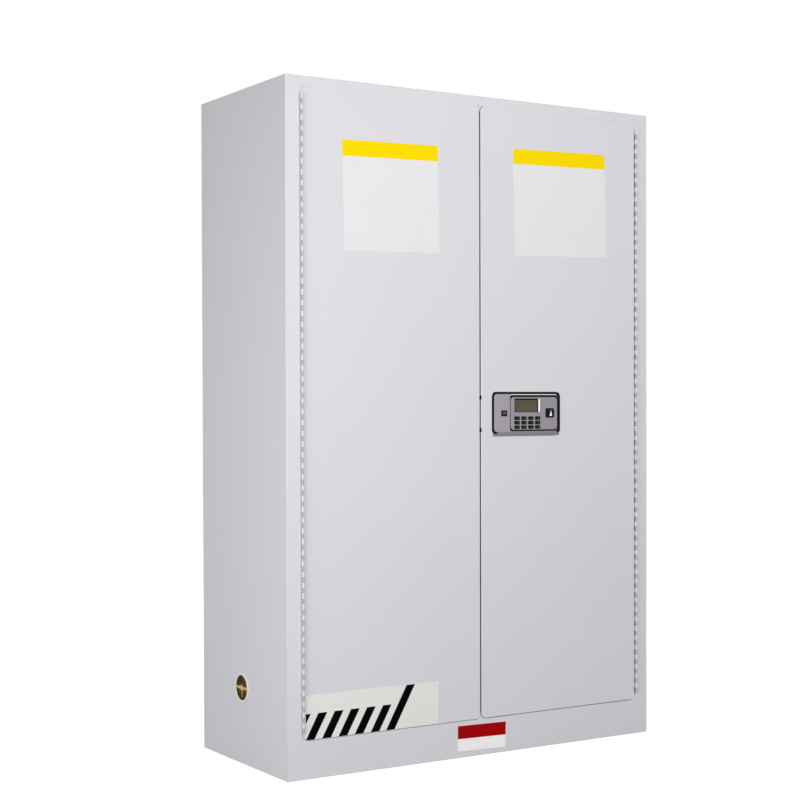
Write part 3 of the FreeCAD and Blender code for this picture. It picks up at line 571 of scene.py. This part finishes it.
def lock_plate(plate, shaded, black, bright):
    """Lacquered plate with the well of the module, a bright nickel bar above it as a painted highlight on the top edge,
    and the sloping lower lip in a darker lacquer as painted shade.
    """
    bm = bmesh.new()
    outline = (44.0, 240.6, 810.4, 906.9)
    rings = [rounded_ring(*outline, 8.4, FRONT_Y + 9.8)] + softened(*outline, 8.4, PLATE_FACE, 1.0)
    loops = loft(bm, rings, caps=(True, False))
    well_outline = (91.0, 239.3, 812.3, 904.3)
    well = loft(bm, [rounded_ring(*well_outline, 6.5, PLATE_FACE), rounded_ring(*well_outline, 6.5, FRONT_Y - 1.2)],
                finish=1, caps=(False, True))
    pierced_face(bm, loops[-1], [well[0]])
    lip = []
    for x, low, top in ((40.0, 803.4, 804.2), (42.0, 801.8, 805.2), (45.0, 800.8, 806.0), (48.0, 800.5, 806.2),
                        (52.0, 800.5, 806.8), (57.0, 800.5, 810.6), (238.0, 800.5, 810.6), (243.6, 801.0, 807.2),
                        (246.6, 802.2, 806.4), (248.4, 804.0, 806.0), (249.0, 804.8, 805.8)):
        lip.append([mm(x, FRONT_Y - 1.05, low), mm(x, lip_face(low) + 0.2, low), mm(x, lip_face(low + 0.3), low + 0.3),
                    mm(x, lip_face(top - 0.5), top - 0.5), mm(x, lip_face(top) + 0.3, top), mm(x, FRONT_Y - 1.05, top)])
    # The lip takes the darker copy of the lacquer: painted shade on a face that turns downwards.
    loft(bm, lip, finish=2)
    # Bright metal bar along the plate's top edge: a painted highlight where the edge catches the light.
    block(bm, 94.0, 237.5, PLATE_FACE - 0.2, PLATE_FACE + 0.5, 904.8, 906.4, 0.15, 3)
    make_piece("lock_plate", bm, [plate, black, shaded, bright], "right_door", ["lock_housing"])


def lip_face(z):
    """Depth of the sloping lip's face at a height."""
    return FRONT_Y - 1.3 - 3.4 * (z - 800.0) / 8.8


def key_centres():
    centres = []
    for n in range(12):
        centres.append((KEY_FIRST[0] + n % 4 * KEY_PITCH[0], KEY_FIRST[1] - n // 4 * KEY_PITCH[1]))
    return centres


def lock_module(plate, black, polished):
    """Raised module with a sloped window recess, twelve key wells and the knob's hole; the recess's right slope is
    bright chrome as a painted highlight.
    """
    bm = bmesh.new()
    x0, x1, z0, z1 = 93.2, 238.8, 816.0, 899.2
    corner = 8.5
    rings = [rounded_ring(x0, x1, z0, z1, corner, FRONT_Y - 1.0),
             rounded_ring(x0, x1, z0, z1, corner, MODULE_FACE + 1.4)]
    for step in (1, 2, 3):
        angle = math.pi / 2 * step / 3
        cut = 1.4 * (1 - math.cos(angle))
        rings.append(rounded_ring(x0 + cut, x1 - cut, z0 + cut, z1 - cut, corner - cut,
                                  MODULE_FACE + 1.4 - 1.4 * math.sin(angle)))
    outer = loft(bm, rings, caps=(True, False))[-1]
    holes = []
    recess = [rounded_ring(104.2, 184.2, 860.2, 896.0, 1.2, MODULE_FACE),
              rounded_ring(105.0, 181.2, 861.0, 895.2, 0.8, MODULE_FACE + 2.6)]
    holes.append(loft(bm, recess, caps=(False, True))[0])
    # Bright chrome on the lit right slope of the lacquered recess: a painted highlight.
    face_near(bm, 182.6, MODULE_FACE + 1.3, 878.3).material_index = 2
    half_x = KEY_SIZE[0] / 2 + 0.4
    half_z = KEY_SIZE[1] / 2 + 0.4
    for x, z in key_centres():
        well = [rounded_ring(x - half_x, x + half_x, z - half_z, z + half_z, 2.4, MODULE_FACE, 3),
                rounded_ring(x - half_x, x + half_x, z - half_z, z + half_z, 2.4, MODULE_FACE + 4.4, 3)]
        holes.append(loft(bm, well, finish=1, caps=(False, True))[0])
    seat = [rounded_ring(201.7, 229.3, 846.2, 870.8, 4.6, MODULE_FACE),
            rounded_ring(201.7, 229.3, 846.2, 870.8, 4.6, MODULE_FACE + 1.2)]
    holes.append(loft(bm, seat, finish=1, caps=(False, True))[0])
    pierced_face(bm, outer, holes)
    make_piece("lock_module", bm, [plate, black, polished], "right_door", ["keypad_panel"])


def lock_display(glass, black):
    """Display pane with a black border at the foot of the recess: printed round the pane, and widened at the top and
    sides as painted shade from the recess walls.
    """
    bm = bmesh.new()
    face = MODULE_FACE + 2.0
    rings = [rounded_ring(105.3, 180.3, 861.3, 894.9, 0.8, MODULE_FACE + 2.6),
             rounded_ring(105.3, 180.3, 861.3, 894.9, 0.8, face + 0.2),
             rounded_ring(105.6, 180.0, 861.6, 894.6, 0.8, face)]
    outer = loft(bm, rings, finish=1, caps=(True, False))[-1]
    # The pane sits off-centre in the border, leaving more black at the top and sides than at the bottom: painted shade
    # under the recess walls.
    pane = loft(bm, [rounded_ring(107.9, 176.6, 862.4, 891.6, 0.6, face),
                     rounded_ring(108.2, 176.3, 862.7, 891.3, 0.6, face + 0.15)], caps=(False, True))
    pierced_face(bm, outer, [pane[0]], 1)
    make_piece("lock_display", bm, [glass, black], "right_door", ["display_window"])


def keys(finish, ink):
    """Twelve crowned keys, each with a raised mark."""
    for n, (x, z) in enumerate(key_centres()):
        bm = bmesh.new()
        half_x = KEY_SIZE[0] / 2
        half_z = KEY_SIZE[1] / 2
        rings = []
        for depth, cut in ((3.1, 0.0), (-0.2, 0.0), (-0.8, 0.25), (-1.15, 0.7), (-1.35, 1.5), (-1.4, 2.6)):
            rings.append(rounded_ring(x - half_x + cut, x + half_x - cut, z - half_z + cut, z + half_z - cut,
                                      max(2.3 - cut * 0.6, 0.6), MODULE_FACE + depth, 4))
        loft(bm, rings)
        node = "key_%02d" % (n + 1)
        make_piece(node + "_crown", bm, [finish], node, [node])
        curve = bpy.data.curves.new(node + "_mark", "FONT")
        curve.body = KEY_MARKS[n]
        curve.size = 0.0056
        curve.align_x = "CENTER"
        curve.align_y = "CENTER"
        curve.extrude = 0.00004
        curve.materials.append(ink)
        mark = bpy.data.objects.new(node + "_mark", curve)
        bpy.context.scene.collection.objects.link(mark)
        drop = 1.2 if KEY_MARKS[n] == "*" else 0.0
        mark.location = mm(x + 2.2, MODULE_FACE - 1.42, z - drop)
        mark.rotation_euler = (math.pi / 2, 0, 0)
        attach(mark, node)


def turn_knob(black, bright):
    """Square black knob, tapered to its face, with a bright triangular pointer."""
    bm = bmesh.new()
    face = MODULE_FACE - 4.4
    rings = []
    for y, half_x, half_z, radius in ((MODULE_FACE + 1.0, 8.0, 8.0, 3.0), (MODULE_FACE - 0.15, 8.0, 8.0, 3.0),
                                      (MODULE_FACE - 0.2, 12.9, 11.0, 4.0), (MODULE_FACE - 0.6, 13.2, 11.3, 4.2),
                                      (MODULE_FACE - 1.6, 12.9, 11.0, 4.0), (face + 1.4, 11.0, 9.6, 3.4),
                                      (face + 0.5, 10.2, 9.0, 3.0), (face, 9.2, 8.4, 2.4)):
        rings.append(rounded_ring(215.5 - half_x, 215.5 + half_x, 858.5 - half_z, 858.5 + half_z, radius, y))
    loft(bm, rings)
    flat = [mm(x, face, z) for x, z in ((211.6, 851.2), (219.4, 851.2), (216.2, 866.0))]
    raised = [mm(x, face - 0.35, z) for x, z in ((212.1, 851.6), (218.9, 851.6), (216.1, 865.0))]
    loft(bm, [flat, raised], finish=1)
    turned(bm, [(0, 4.0), (20.2, 4.0), (20.7, 3.4)], (215.5, MODULE_FACE + 1.0, 858.5), (0, 1, 0), 24)
    make_piece("turn_knob", bm, [black, bright], "latch_knob", ["latch_knob"])


def key_plug(black, dark, bright):
    """Small black escutcheon, and the dark plug with its bright keyway that turns in it; a tiny bright tab beside the
    keyway is a painted glint.
    """
    bm = bmesh.new()
    outline = (64.0, 81.4, 850.8, 865.8)
    rings = [rounded_ring(*outline, 2.4, PLATE_FACE + 1.0)] + softened(*outline, 2.4, PLATE_FACE - 1.4, 0.5)
    outer = loft(bm, rings, caps=(True, False))[-1]
    bore = [rounded_ring(67.0, 78.0, 853.0, 864.0, 5.4, PLATE_FACE - 1.4, 8),
            rounded_ring(67.0, 78.0, 853.0, 864.0, 5.4, PLATE_FACE - 0.2, 8)]
    hole = loft(bm, bore, caps=(False, True))[0]
    pierced_face(bm, outer, [hole])
    make_piece("key_escutcheon", bm, [black], "right_door")
    bm = bmesh.new()
    face = PLATE_FACE - 1.6
    centre = (72.5, face, 858.5)
    rim = turned(bm, [(26.0, 4.9), (0.5, 4.9), (0.15, 4.7), (0.0, 4.4)], centre, (0, 1, 0), 32)[-1]
    bm.faces.remove(next(f for f in bm.faces if len(f.verts) == 32 and f.calc_center_median().y < face / 1000 + 0.0001))
    crown = turned(bm, [(0.3, 3.9), (0.3, 3.8)], centre, (0, 1, 0), 32)
    for loop in crown:
        for face_made in [f for f in bm.faces if len(f.verts) == 32 and set(f.verts) == set(loop)]:
            bm.faces.remove(face_made)
    slot = loft(bm, [rounded_ring(71.6, 73.4, 855.4, 861.6, 0.6, face + 0.3, 3),
                     rounded_ring(71.6, 73.4, 855.4, 861.6, 0.6, face + 4.0, 3)], finish=1, caps=(False, True))[0]
    for i in range(32):
        j = (i + 1) % 32
        bm.faces.new((rim[i], rim[j], crown[0][j], crown[0][i]))
    pierced_face(bm, crown[1], [slot])
    # Tiny raised tab beside the keyway in bright metal: a painted glint on the plug.
    block(bm, 74.4, 76.0, face - 0.05, face + 0.6, 859.4, 861.0, 0.1, 1)
    make_piece("key_plug", bm, [dark, bright], "key_cylinder", ["key_cylinder"])


# Vents

def vent_collars(finish):
    """Turned collars: a rounded flange outside, a socket, a seat, and a nut inside."""
    bm = bmesh.new()
    for side, z in ((-1, 187.0), (1, 1463.0)):
        profile = [(0.0, 30.5), (-1.6, 30.5), (-2.6, 31.2), (-3.0, 32.4), (-3.0, 35.4), (-2.6, 36.4), (-1.8, 37.0),
                   (0.0, 37.0), (0.0, 33.0), (40.4, 33.0), (40.4, 37.0), (42.6, 37.0), (43.4, 36.2), (43.4, 27.5),
                   (13.0, 27.5), (13.0, 30.5)]
        rings = []
        steps = 64
        for along, radius in profile + profile[:1]:
            ring = []
            for step in range(steps):
                angle = 2 * math.pi * step / steps
                ring.append(mm(side * (HALF_WIDTH - along), 14.0 + radius * math.cos(angle), z + radius * math.sin(angle)))
            rings.append(ring)
        loft(bm, rings, caps=(False, False))
    bmesh.ops.remove_doubles(bm, verts=bm.verts, dist=1e-7)
    make_piece("vent_collars_turned", bm, [finish], "carcass", ["vent_collars"])


def flame_arresters(brass, mesh_finish):
    """Brass cups almost flush with the collars' mouths: ringed mesh across, a level grip bar and a small hub."""
    bm = bmesh.new()
    for side, z in ((-1, 187.0), (1, 1463.0)):
        mouth = side * (HALF_WIDTH + 1.6)

        def at(depth, y, up):
            return mouth - side * depth, 14.0 + y, z + up

        profile = [(0.5, 30.2), (0.0, 29.8), (0.0, 29.4), (0.6, 29.0), (7.0, 28.8), (7.4, 23.9), (32.5, 23.9),
                   (32.6, 27.2), (14.6, 27.2), (14.4, 30.2)]
        rings = []
        for depth, radius in profile + profile[:1]:
            ring = []
            for step in range(56):
                angle = 2 * math.pi * step / 56
                ring.append(mm(*at(depth, radius * math.cos(angle), radius * math.sin(angle))))
            rings.append(ring)
        loft(bm, rings, finish=1, caps=(False, False))
        for n in range(9):
            wire_ring(bm, at, 4.0, 4.5 + 2.9 * n, 0.75)
        for spoke in range(24):
            angle = math.pi * spoke / 12
            wire(bm, at, (4.3, 3.0 * math.cos(angle), 3.0 * math.sin(angle)),
                 (4.3, 28.8 * math.cos(angle), 28.8 * math.sin(angle)), 0.45)
        for depth, radius in ((6.0, 28.9), (27.1, 24.2)):
            backing = [[mm(*at(depth + more, radius * math.cos(a), radius * math.sin(a))) for a in steps_round(32)]
                       for more in (0.0, 1.0)]
            loft(bm, backing, finish=1)
        grip_bar(bm, at)
    make_piece("flame_arresters_built", bm, [brass, mesh_finish], "carcass", ["flame_arresters"])


def steps_round(count):
    return [2 * math.pi * n / count for n in range(count)]


def wire_ring(bm, at, depth, radius, gauge):
    """One ring of the arrester's mesh."""
    rings = []
    for angle in steps_round(40) + [0.0]:
        ring = []
        for turn in steps_round(6):
            reach = radius + gauge * math.cos(turn)
            ring.append(mm(*at(depth + gauge * math.sin(turn), reach * math.cos(angle), reach * math.sin(angle))))
        rings.append(ring)
    loft(bm, rings, finish=1, caps=(False, False))


def wire(bm, at, start, end, gauge):
    """One straight wire of the arrester's mesh."""
    along = Vector((0, end[1] - start[1], end[2] - start[2])).normalized()
    across = Vector((0, -along.z, along.y))
    rings = []
    for point in (start, end):
        ring = []
        for turn in steps_round(6):
            shift = across * gauge * math.cos(turn)
            ring.append(mm(*at(point[0] + gauge * math.sin(turn), point[1] + shift.y, point[2] + shift.z)))
        rings.append(ring)
    loft(bm, rings, finish=1)


def grip_bar(bm, at):
    """Level bar with a swelling in the middle, a short upright and a turned hub."""
    rings = []
    for y, half, crown in ((-28.4, 3.0, 0.2), (-16.0, 3.2, 0.0), (-7.0, 4.2, -0.5), (0.0, 5.4, -0.9), (7.0, 4.2, -0.5),
                           (16.0, 3.2, 0.0), (28.4, 3.0, 0.2)):
        ring = []
        for depth, up in ((3.4, -half), (crown + 0.6, -half), (crown, -half * 0.5), (crown - 0.2, 0.0),
                          (crown, half * 0.5), (crown + 0.6, half), (3.4, half)):
            ring.append(mm(*at(depth, y, up)))
        rings.append(ring)
    loft(bm, rings)
    rings = []
    for up, half in ((-23.0, 1.6), (-10.0, 2.2), (2.0, 2.2), (9.0, 1.6)):
        rings.append([mm(*at(3.3, -half, up)), mm(*at(0.9, -half * 0.7, up)), mm(*at(0.5, 0.0, up)),
                      mm(*at(0.9, half * 0.7, up)), mm(*at(3.3, half, up))])
    loft(bm, rings)
    rings = []
    for depth, radius in ((3.3, 7.2), (-0.1, 7.0), (-0.7, 6.2), (-1.0, 4.8), (-1.0, 3.0), (-0.5, 2.4)):
        rings.append([mm(*at(depth, radius * math.cos(a), radius * math.sin(a))) for a in steps_round(24)])
    loft(bm, rings)


# Seals, feet and labels

def corner_web(bm, corner):
    """Fills the opening's square corner outside a door's rounded one; corner gives the signs of x and z."""
    side, up = corner
    edge_x = side * JAMB_X
    ledge_z = HEAD_Z if up > 0 else SILL_Z
    door_z = DOOR_TOP if up > 0 else DOOR_BOTTOM
    centre = (side * (DOOR_X - DOOR_CORNER), door_z - up * DOOR_CORNER)
    gap = min(abs(ledge_z - door_z) / 2, 0.6)
    outline = [(edge_x, ledge_z), (edge_x, centre[1] - up * 5.0), (side * (DOOR_X + 0.6), centre[1] - up * 5.0)]
    for step in range(9):
        angle = math.pi / 2 * step / 8
        outline.append((centre[0] + side * (DOOR_CORNER + 0.6) * math.cos(angle),
                        centre[1] + up * (DOOR_CORNER + gap) * math.sin(angle)))
    outline.append((centre[0], ledge_z))
    loft(bm, [[mm(x, y, z) for x, z in outline] for y in (FRONT_Y + 1.2, FRONT_Y + 13.0)])


def centre_web(bm, up):
    """Fills the opening's edge between the two doors' rounded corners, clear of both doors' swing."""
    ledge_z = HEAD_Z if up > 0 else SILL_Z
    door_z = DOOR_TOP if up > 0 else DOOR_BOTTOM
    rise = DOOR_CORNER + min(abs(ledge_z - door_z) / 2, 0.6)
    swing = 2.0
    outline = []
    for side in (-1, 1):
        arc = []
        for step in range(9):
            angle = math.radians(78) * step / 8
            x = DOOR_FREE_EDGE[side] + side * (DOOR_CORNER - swing) - side * DOOR_CORNER * math.sin(angle)
            arc.append((x, door_z - up * DOOR_CORNER + up * rise * math.cos(angle)))
        outline += arc if side < 0 else arc[::-1]
    outline.append((outline[-1][0], ledge_z))
    outline.append((outline[0][0], ledge_z))
    loft(bm, [[mm(x, y, z) for x, z in outline] for y in (FRONT_Y + 1.2, FRONT_Y + 13.0)])


def opening_webs(finish):
    """Small webs in the corners of the opening, and thin strips along its head and sill."""
    bm = bmesh.new()
    for up in (-1, 1):
        for side in (-1, 1):
            corner_web(bm, (side, up))
        centre_web(bm, up)
    reach = DOOR_X - DOOR_CORNER - 0.5
    block(bm, -reach, reach, FRONT_Y + 0.1, FRONT_Y + 12.0, DOOR_TOP + 0.1, HEAD_Z + 0.25, 0.05)
    left_end = DOOR_FREE_EDGE[-1] - DOOR_CORNER + 2.0
    block(bm, -reach, left_end, FRONT_Y + 3.5, FRONT_Y + 16.0, SILL_Z, SILL_Z + 0.7, 0.1)
    make_piece("opening_webs", bm, [finish], "carcass")


def door_end_edges(finish, up, end_name):
    """Paint-filled bevels along the doors' upper (up 1) or lower (up -1) edges, carried round the corners."""
    end_z = DOOR_TOP if up > 0 else DOOR_BOTTOM
    for side, word in ((-1, "left"), (1, "right")):
        bm = bmesh.new()
        hinge_x, free_x = side * DOOR_X, DOOR_FREE_EDGE[side]
        corners = []
        for x, toward in ((hinge_x, -side), (free_x, side)):
            centre = (x + toward * DOOR_CORNER, end_z - up * DOOR_CORNER)
            arc = []
            for step in range(9):
                angle = math.pi / 2 * step / 8
                out = (-toward * math.cos(angle), up * math.sin(angle))
                arc.append((centre, out))
            corners.append(arc)
        sections = []
        for centre, out in corners[0] + corners[1][::-1]:
            ring = []
            for reach, y in ((DOOR_CORNER, FRONT_Y), (DOOR_CORNER, FRONT_Y + DOOR_BEVEL),
                             (DOOR_CORNER - DOOR_BEVEL, FRONT_Y)):
                ring.append(mm(centre[0] + reach * out[0], y, centre[1] + reach * out[1]))
            sections.append(ring)
        loft(bm, sections)
        make_piece(word + end_name, bm, [finish], word + "_door")


def meeting_strips(coat, rubber, black):
    """Pale trim on the left-hand door's free edge; black strip and two bumpers on the right-hand door's."""
    left_edge = DOOR_FREE_EDGE[-1]
    bm = bmesh.new()
    for z0, z1 in ((105.0, 811.5), (822.5, 892.5), (903.5, 1613.8)):
        block(bm, left_edge, left_edge + 0.8, FRONT_Y + 1.9, FRONT_Y + 9.0, z0, z1, 0.15)
    make_piece("left_edge_trim", bm, [coat], "left_door")
    edge = DOOR_FREE_EDGE[1]
    bm = bmesh.new()
    rings = []
    for z, less in ((108.0, 0.3), (108.4, 0.0), (1611.6, 0.0), (1612.0, 0.3)):
        section = [(edge, FRONT_Y + 2.2 + less), (edge - 0.7, FRONT_Y + 2.4 + less), (edge - 1.1 + less, FRONT_Y + 3.2),
                   (edge - 1.1 + less, FRONT_Y + 9.0), (edge - 0.7, FRONT_Y + 9.8), (edge, FRONT_Y + 10.0)]
        rings.append([mm(x, y, z) for x, y in section])
    loft(bm, rings)
    make_piece("meeting_strip", bm, [rubber], "right_door")
    bm = bmesh.new()
    for z, tall in ((817.0, 4.6), (898.0, 4.6)):
        block(bm, left_edge - 0.2, edge + 0.9, FRONT_Y, FRONT_Y + 1.5, z - tall, z + tall, 0.5)
        block(bm, edge - 2.6, edge, FRONT_Y + 1.2, FRONT_Y + 8.0, z - tall + 1.0, z + tall - 1.0, 0.4)
    make_piece("meeting_bumpers", bm, [black], "right_door")


def door_seal(finish):
    """Extruded rubber seal with two soft lips, mitred round the opening."""
    bm = bmesh.new()
    z0, z1 = 94.5, 1623.0
    x1 = 502.0
    base = FRONT_Y + 42.0
    section = [(0.0, 0.0), (0.0, -1.0), (0.8, -2.2), (1.9, -3.3), (3.0, -3.5), (4.2, -2.8), (5.0, -1.7), (7.0, -1.7),
               (7.8, -2.8), (9.0, -3.5), (10.1, -3.3), (11.2, -2.2), (12.0, -1.0), (12.0, 0.0)]
    rings = []
    for corner_x, corner_z in ((-1, -1), (1, -1), (1, 1), (-1, 1)):
        ring = []
        for inset, rise in section:
            x = corner_x * (x1 - inset)
            z = z0 + inset if corner_z < 0 else z1 - inset
            ring.append(mm(x, base + rise, z))
        rings.append(ring)
    loft(bm, rings + rings[:1], caps=(False, False))
    bmesh.ops.remove_doubles(bm, verts=bm.verts, dist=1e-7)
    make_piece("door_seal_lips", bm, [finish], "carcass", ["door_seal"])


def levelling_feet(finish, rubber):
    """Turned pads on threaded studs."""
    for name, x, y in (("front_left", -470, -148), ("front_right", 470, -148), ("back_left", -470, 162),
                       ("back_right", 470, 162)):
        bm = bmesh.new()
        turned(bm, [(1.0, 19.5), (1.0, 21.4), (1.8, 22.0), (4.0, 22.0)], (x, y, 0), (0, 0, 1), 40, 1)
        turned(bm, [(4.0, 21.6), (6.4, 21.2), (7.4, 19.0), (9.0, 13.0), (9.0, 7.0), (9.4, 6.0)], (x, y, 0), (0, 0, 1), 40)
        profile = [(9.4, 5.2)]
        turn = 0
        while 10.2 + turn * 1.75 < 50.0:
            profile.append((10.2 + turn * 1.75, 5.2))
            profile.append((11.05 + turn * 1.75, 6.0))
            turn += 1
        profile.append((51.0, 5.0))
        turned(bm, profile, (x, y, 0), (0, 0, 1), 24)
        make_piece("foot_" + name + "_turned", bm, [finish, rubber], "foot_" + name, ["foot_" + name])


def film(bm, x0, x1, z0, z1, centre, tilt, y, thickness, radius, finish):
    """A flat piece of film, turned about a centre in the plane of the panel."""
    rings = [rounded_ring(x0, x1, z0, z1, radius, y, 3), rounded_ring(x0, x1, z0, z1, radius, y - thickness, 3)]
    turn = Matrix.Rotation(-math.radians(tilt), 4, "Y")
    middle = mm(centre[0], y, centre[1])
    rings = [[turn @ (point - middle) + middle for point in ring] for ring in rings]
    loft(bm, rings, finish=finish)


def labels(white, yellow, red, black, grey, bright):
    """Plain labels where the cabinet carries them: two on the doors, one striped, one on the plinth."""
    for name, body, x0, x1, z0, z1 in (("left_door_label", "left_door", -390.5, -120.5, 1250.5, 1513.5),
                                       ("right_door_label", "right_door", 108.0, 403.5, 1262.0, 1531.5)):
        bm = bmesh.new()
        centre = ((x0 + x1) / 2, (z0 + z1) / 2)
        film(bm, x0, x1, z0, z1, centre, 1.3, FRONT_Y, 0.12, 1.5, 0)
        film(bm, x0, x1, z1 - 38.0, z1, centre, 1.3, FRONT_Y - 0.12, 0.03, 1.5, 1)
        make_piece(name, bm, [white, yellow], body)
    bm = bmesh.new()
    film(bm, -496.6, -124.3, 92.8, 198.6, (-310, 146), 0.0, FRONT_Y, 0.12, 1.0, 0)
    base = FRONT_Y - 0.12
    lean = 34.0 / 60.0

    def stripe(left, width, low, high):
        points = [(left, low), (left + width, low), (left + width + (high - low) * lean, high),
                  (left + (high - low) * lean, high)]
        clipped = [(max(x, -496.6), z) for x, z in points]
        if left < -500:
            edge = low + (-496.6 - left - width) / lean
            clipped = [(-496.6, edge), (left + width + (high - low) * lean, high), (-496.6, high)]
        loft(bm, [[mm(x, base, z) for x, z in clipped], [mm(x, base - 0.03, z) for x, z in clipped]], finish=1)

    for n in range(5):
        stripe(-497.6 + 44.6 * n, 24.0, 92.9, 154.3)
    stripe(-497.6 - 44.6, 24.0, 92.9, 154.3)
    stripe(-276.0, 24.0, 92.9, 197.5)
    make_piece("striped_label", bm, [grey, black], "left_door")
    bm = bmesh.new()
    film(bm, -67.0, 78.9, 15.0, 78.4, (6.0, 46.5), -1.3, FRONT_Y, 0.12, 1.0, 0)
    film(bm, -67.0, 78.9, 45.6, 78.4, (6.0, 46.5), -1.3, FRONT_Y - 0.12, 0.03, 1.0, 1)
    make_piece("plinth_label", bm, [bright, red], "carcass")


# Finishing of the solids that are shown as they are

def eased(node, width, segments=2):
    """Softens the folded and sheared edges of a solid without changing it."""
    piece = nodes[node]
    weld = piece.modifiers.new("weld", "WELD")
    weld.merge_threshold = 0.00001
    bevel = piece.modifiers.new("ease", "BEVEL")
    bevel.width = width / 1000
    bevel.segments = segments
    bevel.limit_method = "ANGLE"
    bevel.angle_limit = math.radians(40)
    bevel.use_clamp_overlap = True
    bevel.harden_normals = True


def dress(names, finish, width=0.0):
    for name in names:
        mesh = nodes[name].data
        mesh.materials.clear()
        mesh.materials.append(finish)
        if width:
            eased(name, width)


coat = powder_coated_steel()
hinge_coat = coated_hinge_steel()
hinge_painted_shade = hinge_steel_painted_shade()
zinc = zinc_plated_steel()
rubber = moulded_rubber()
brass = cast_brass()
olive_mesh_brass = dark_olive_brass_mesh()
enamel = cream_enamel()
lacquer = silver_lacquered_abs("silver_lacquered_abs", "#9B929E", "#A89FAB")
deep_lacquer = silver_lacquered_abs("silver_lacquered_abs_deep", "#8D888F", "#9A959C")
# A darker copy of the plate's lacquer: painted shade for the downward-facing lip.
lip_lacquer_painted_shade = silver_lacquered_abs("silver_lacquered_abs_lip_painted_shade", "#80787B", "#898184")
plug_lacquer = silver_lacquered_abs("dark_lacquered_abs", "#4E494F", "#575258")
black = black_abs()
key_rubber = silicone_key()
display_glass = liquid_crystal_glass()
nickel = nickel_plate()
chrome = polished_chrome()
white_film = printed_vinyl("white_vinyl", "#E4E4E6", "#E8E8E9")
yellow_film = printed_vinyl("yellow_vinyl", "#FADA00", "#FDDD02", 0.05)
red_film = printed_vinyl("red_vinyl", "#A20005", "#AA0208", 0.05)
black_film = printed_vinyl("black_vinyl", "#010101", "#040404", 0.02)
grey_film = printed_vinyl("pale_vinyl", "#E9E8E4", "#EDECE8")
plinth_film = printed_vinyl("bright_vinyl", "#FCF8F6", "#FEFBFA", 0.8)
key_ink = printed_vinyl("key_ink", "#8A8884", "#94928E")

camera_at((-2312.51, -3568.42, 885.40), -0.55598, -0.01565, -0.00283, 1622.59, 28.26)
studio_world(0.4)
studio_floor()
soft_lamp("front_lamp", (-0.1, -3.0, 2.1), (0.0, -0.2, 0.8), 2.0, 2.0, 54, False)
soft_lamp("left_lamp", (-2.25, -1.1, 0.76), (-0.3, -0.1, 0.9), 1.4, 1.4, 23)
soft_lamp("right_lamp", (2.6, 0.9, 1.5), (0.5, 0.0, 0.8), 1.4, 1.4, 16)
soft_lamp("back_lamp", (0.9, 3.2, 1.9), (0.0, 0.2, 0.9), 1.4, 1.4, 30)

dress(["left_side_panel", "right_side_panel", "roof_panel", "back_panel", "base_pan", "plinth_panel", "top_rail",
       "left_jamb", "right_jamb", "left_liner", "right_liner", "back_liner", "roof_liner", "sump_tray"], coat, 0.4)
dress(["left_door_skin", "right_door_skin"], coat, 0.45)
dress(["left_door_liner", "right_door_liner", "lower_shelf", "upper_shelf"], coat, 0.8)
dress(["shelf_strips", "shelf_clips", "strike_plate", "lock_case", "flush_bolt_guides", "top_rod", "bottom_rod",
       "side_bolt", "left_top_bolt", "left_bottom_bolt"], zinc, 0.3)

for side, word in ((-1, "left"), (1, "right")):
    # The frame leaves take the darker grey as painted shade between the door leaves' knuckles.
    hinge_leaf(word + "_hinge_frame_leaf", side, 1, FRAME_ROLL_RADIUS, 0, "carcass", hinge_painted_shade)
    hinge_leaf(word + "_hinge_door_leaf", side, -1, DOOR_ROLL_RADIUS, 1, word + "_door", hinge_coat)
hinge_pins(zinc)
lock_edging(rubber)
lock_plate(lacquer, lip_lacquer_painted_shade, black, nickel)
lock_module(deep_lacquer, black, chrome)
lock_display(display_glass, black)
keys(key_rubber, key_ink)
turn_knob(black, chrome)
key_plug(black, plug_lacquer, nickel)
vent_collars(enamel)
flame_arresters(brass, olive_mesh_brass)
door_seal(rubber)
opening_webs(coat)
door_end_edges(coat, 1, "_head_edge")
door_end_edges(coat, -1, "_sill_edge")
meeting_strips(coat, rubber, black)
levelling_feet(zinc, rubber)
labels(white_film, yellow_film, red_film, black_film, grey_film, plinth_film)

bpy.context.scene.view_settings.view_transform = "Standard"
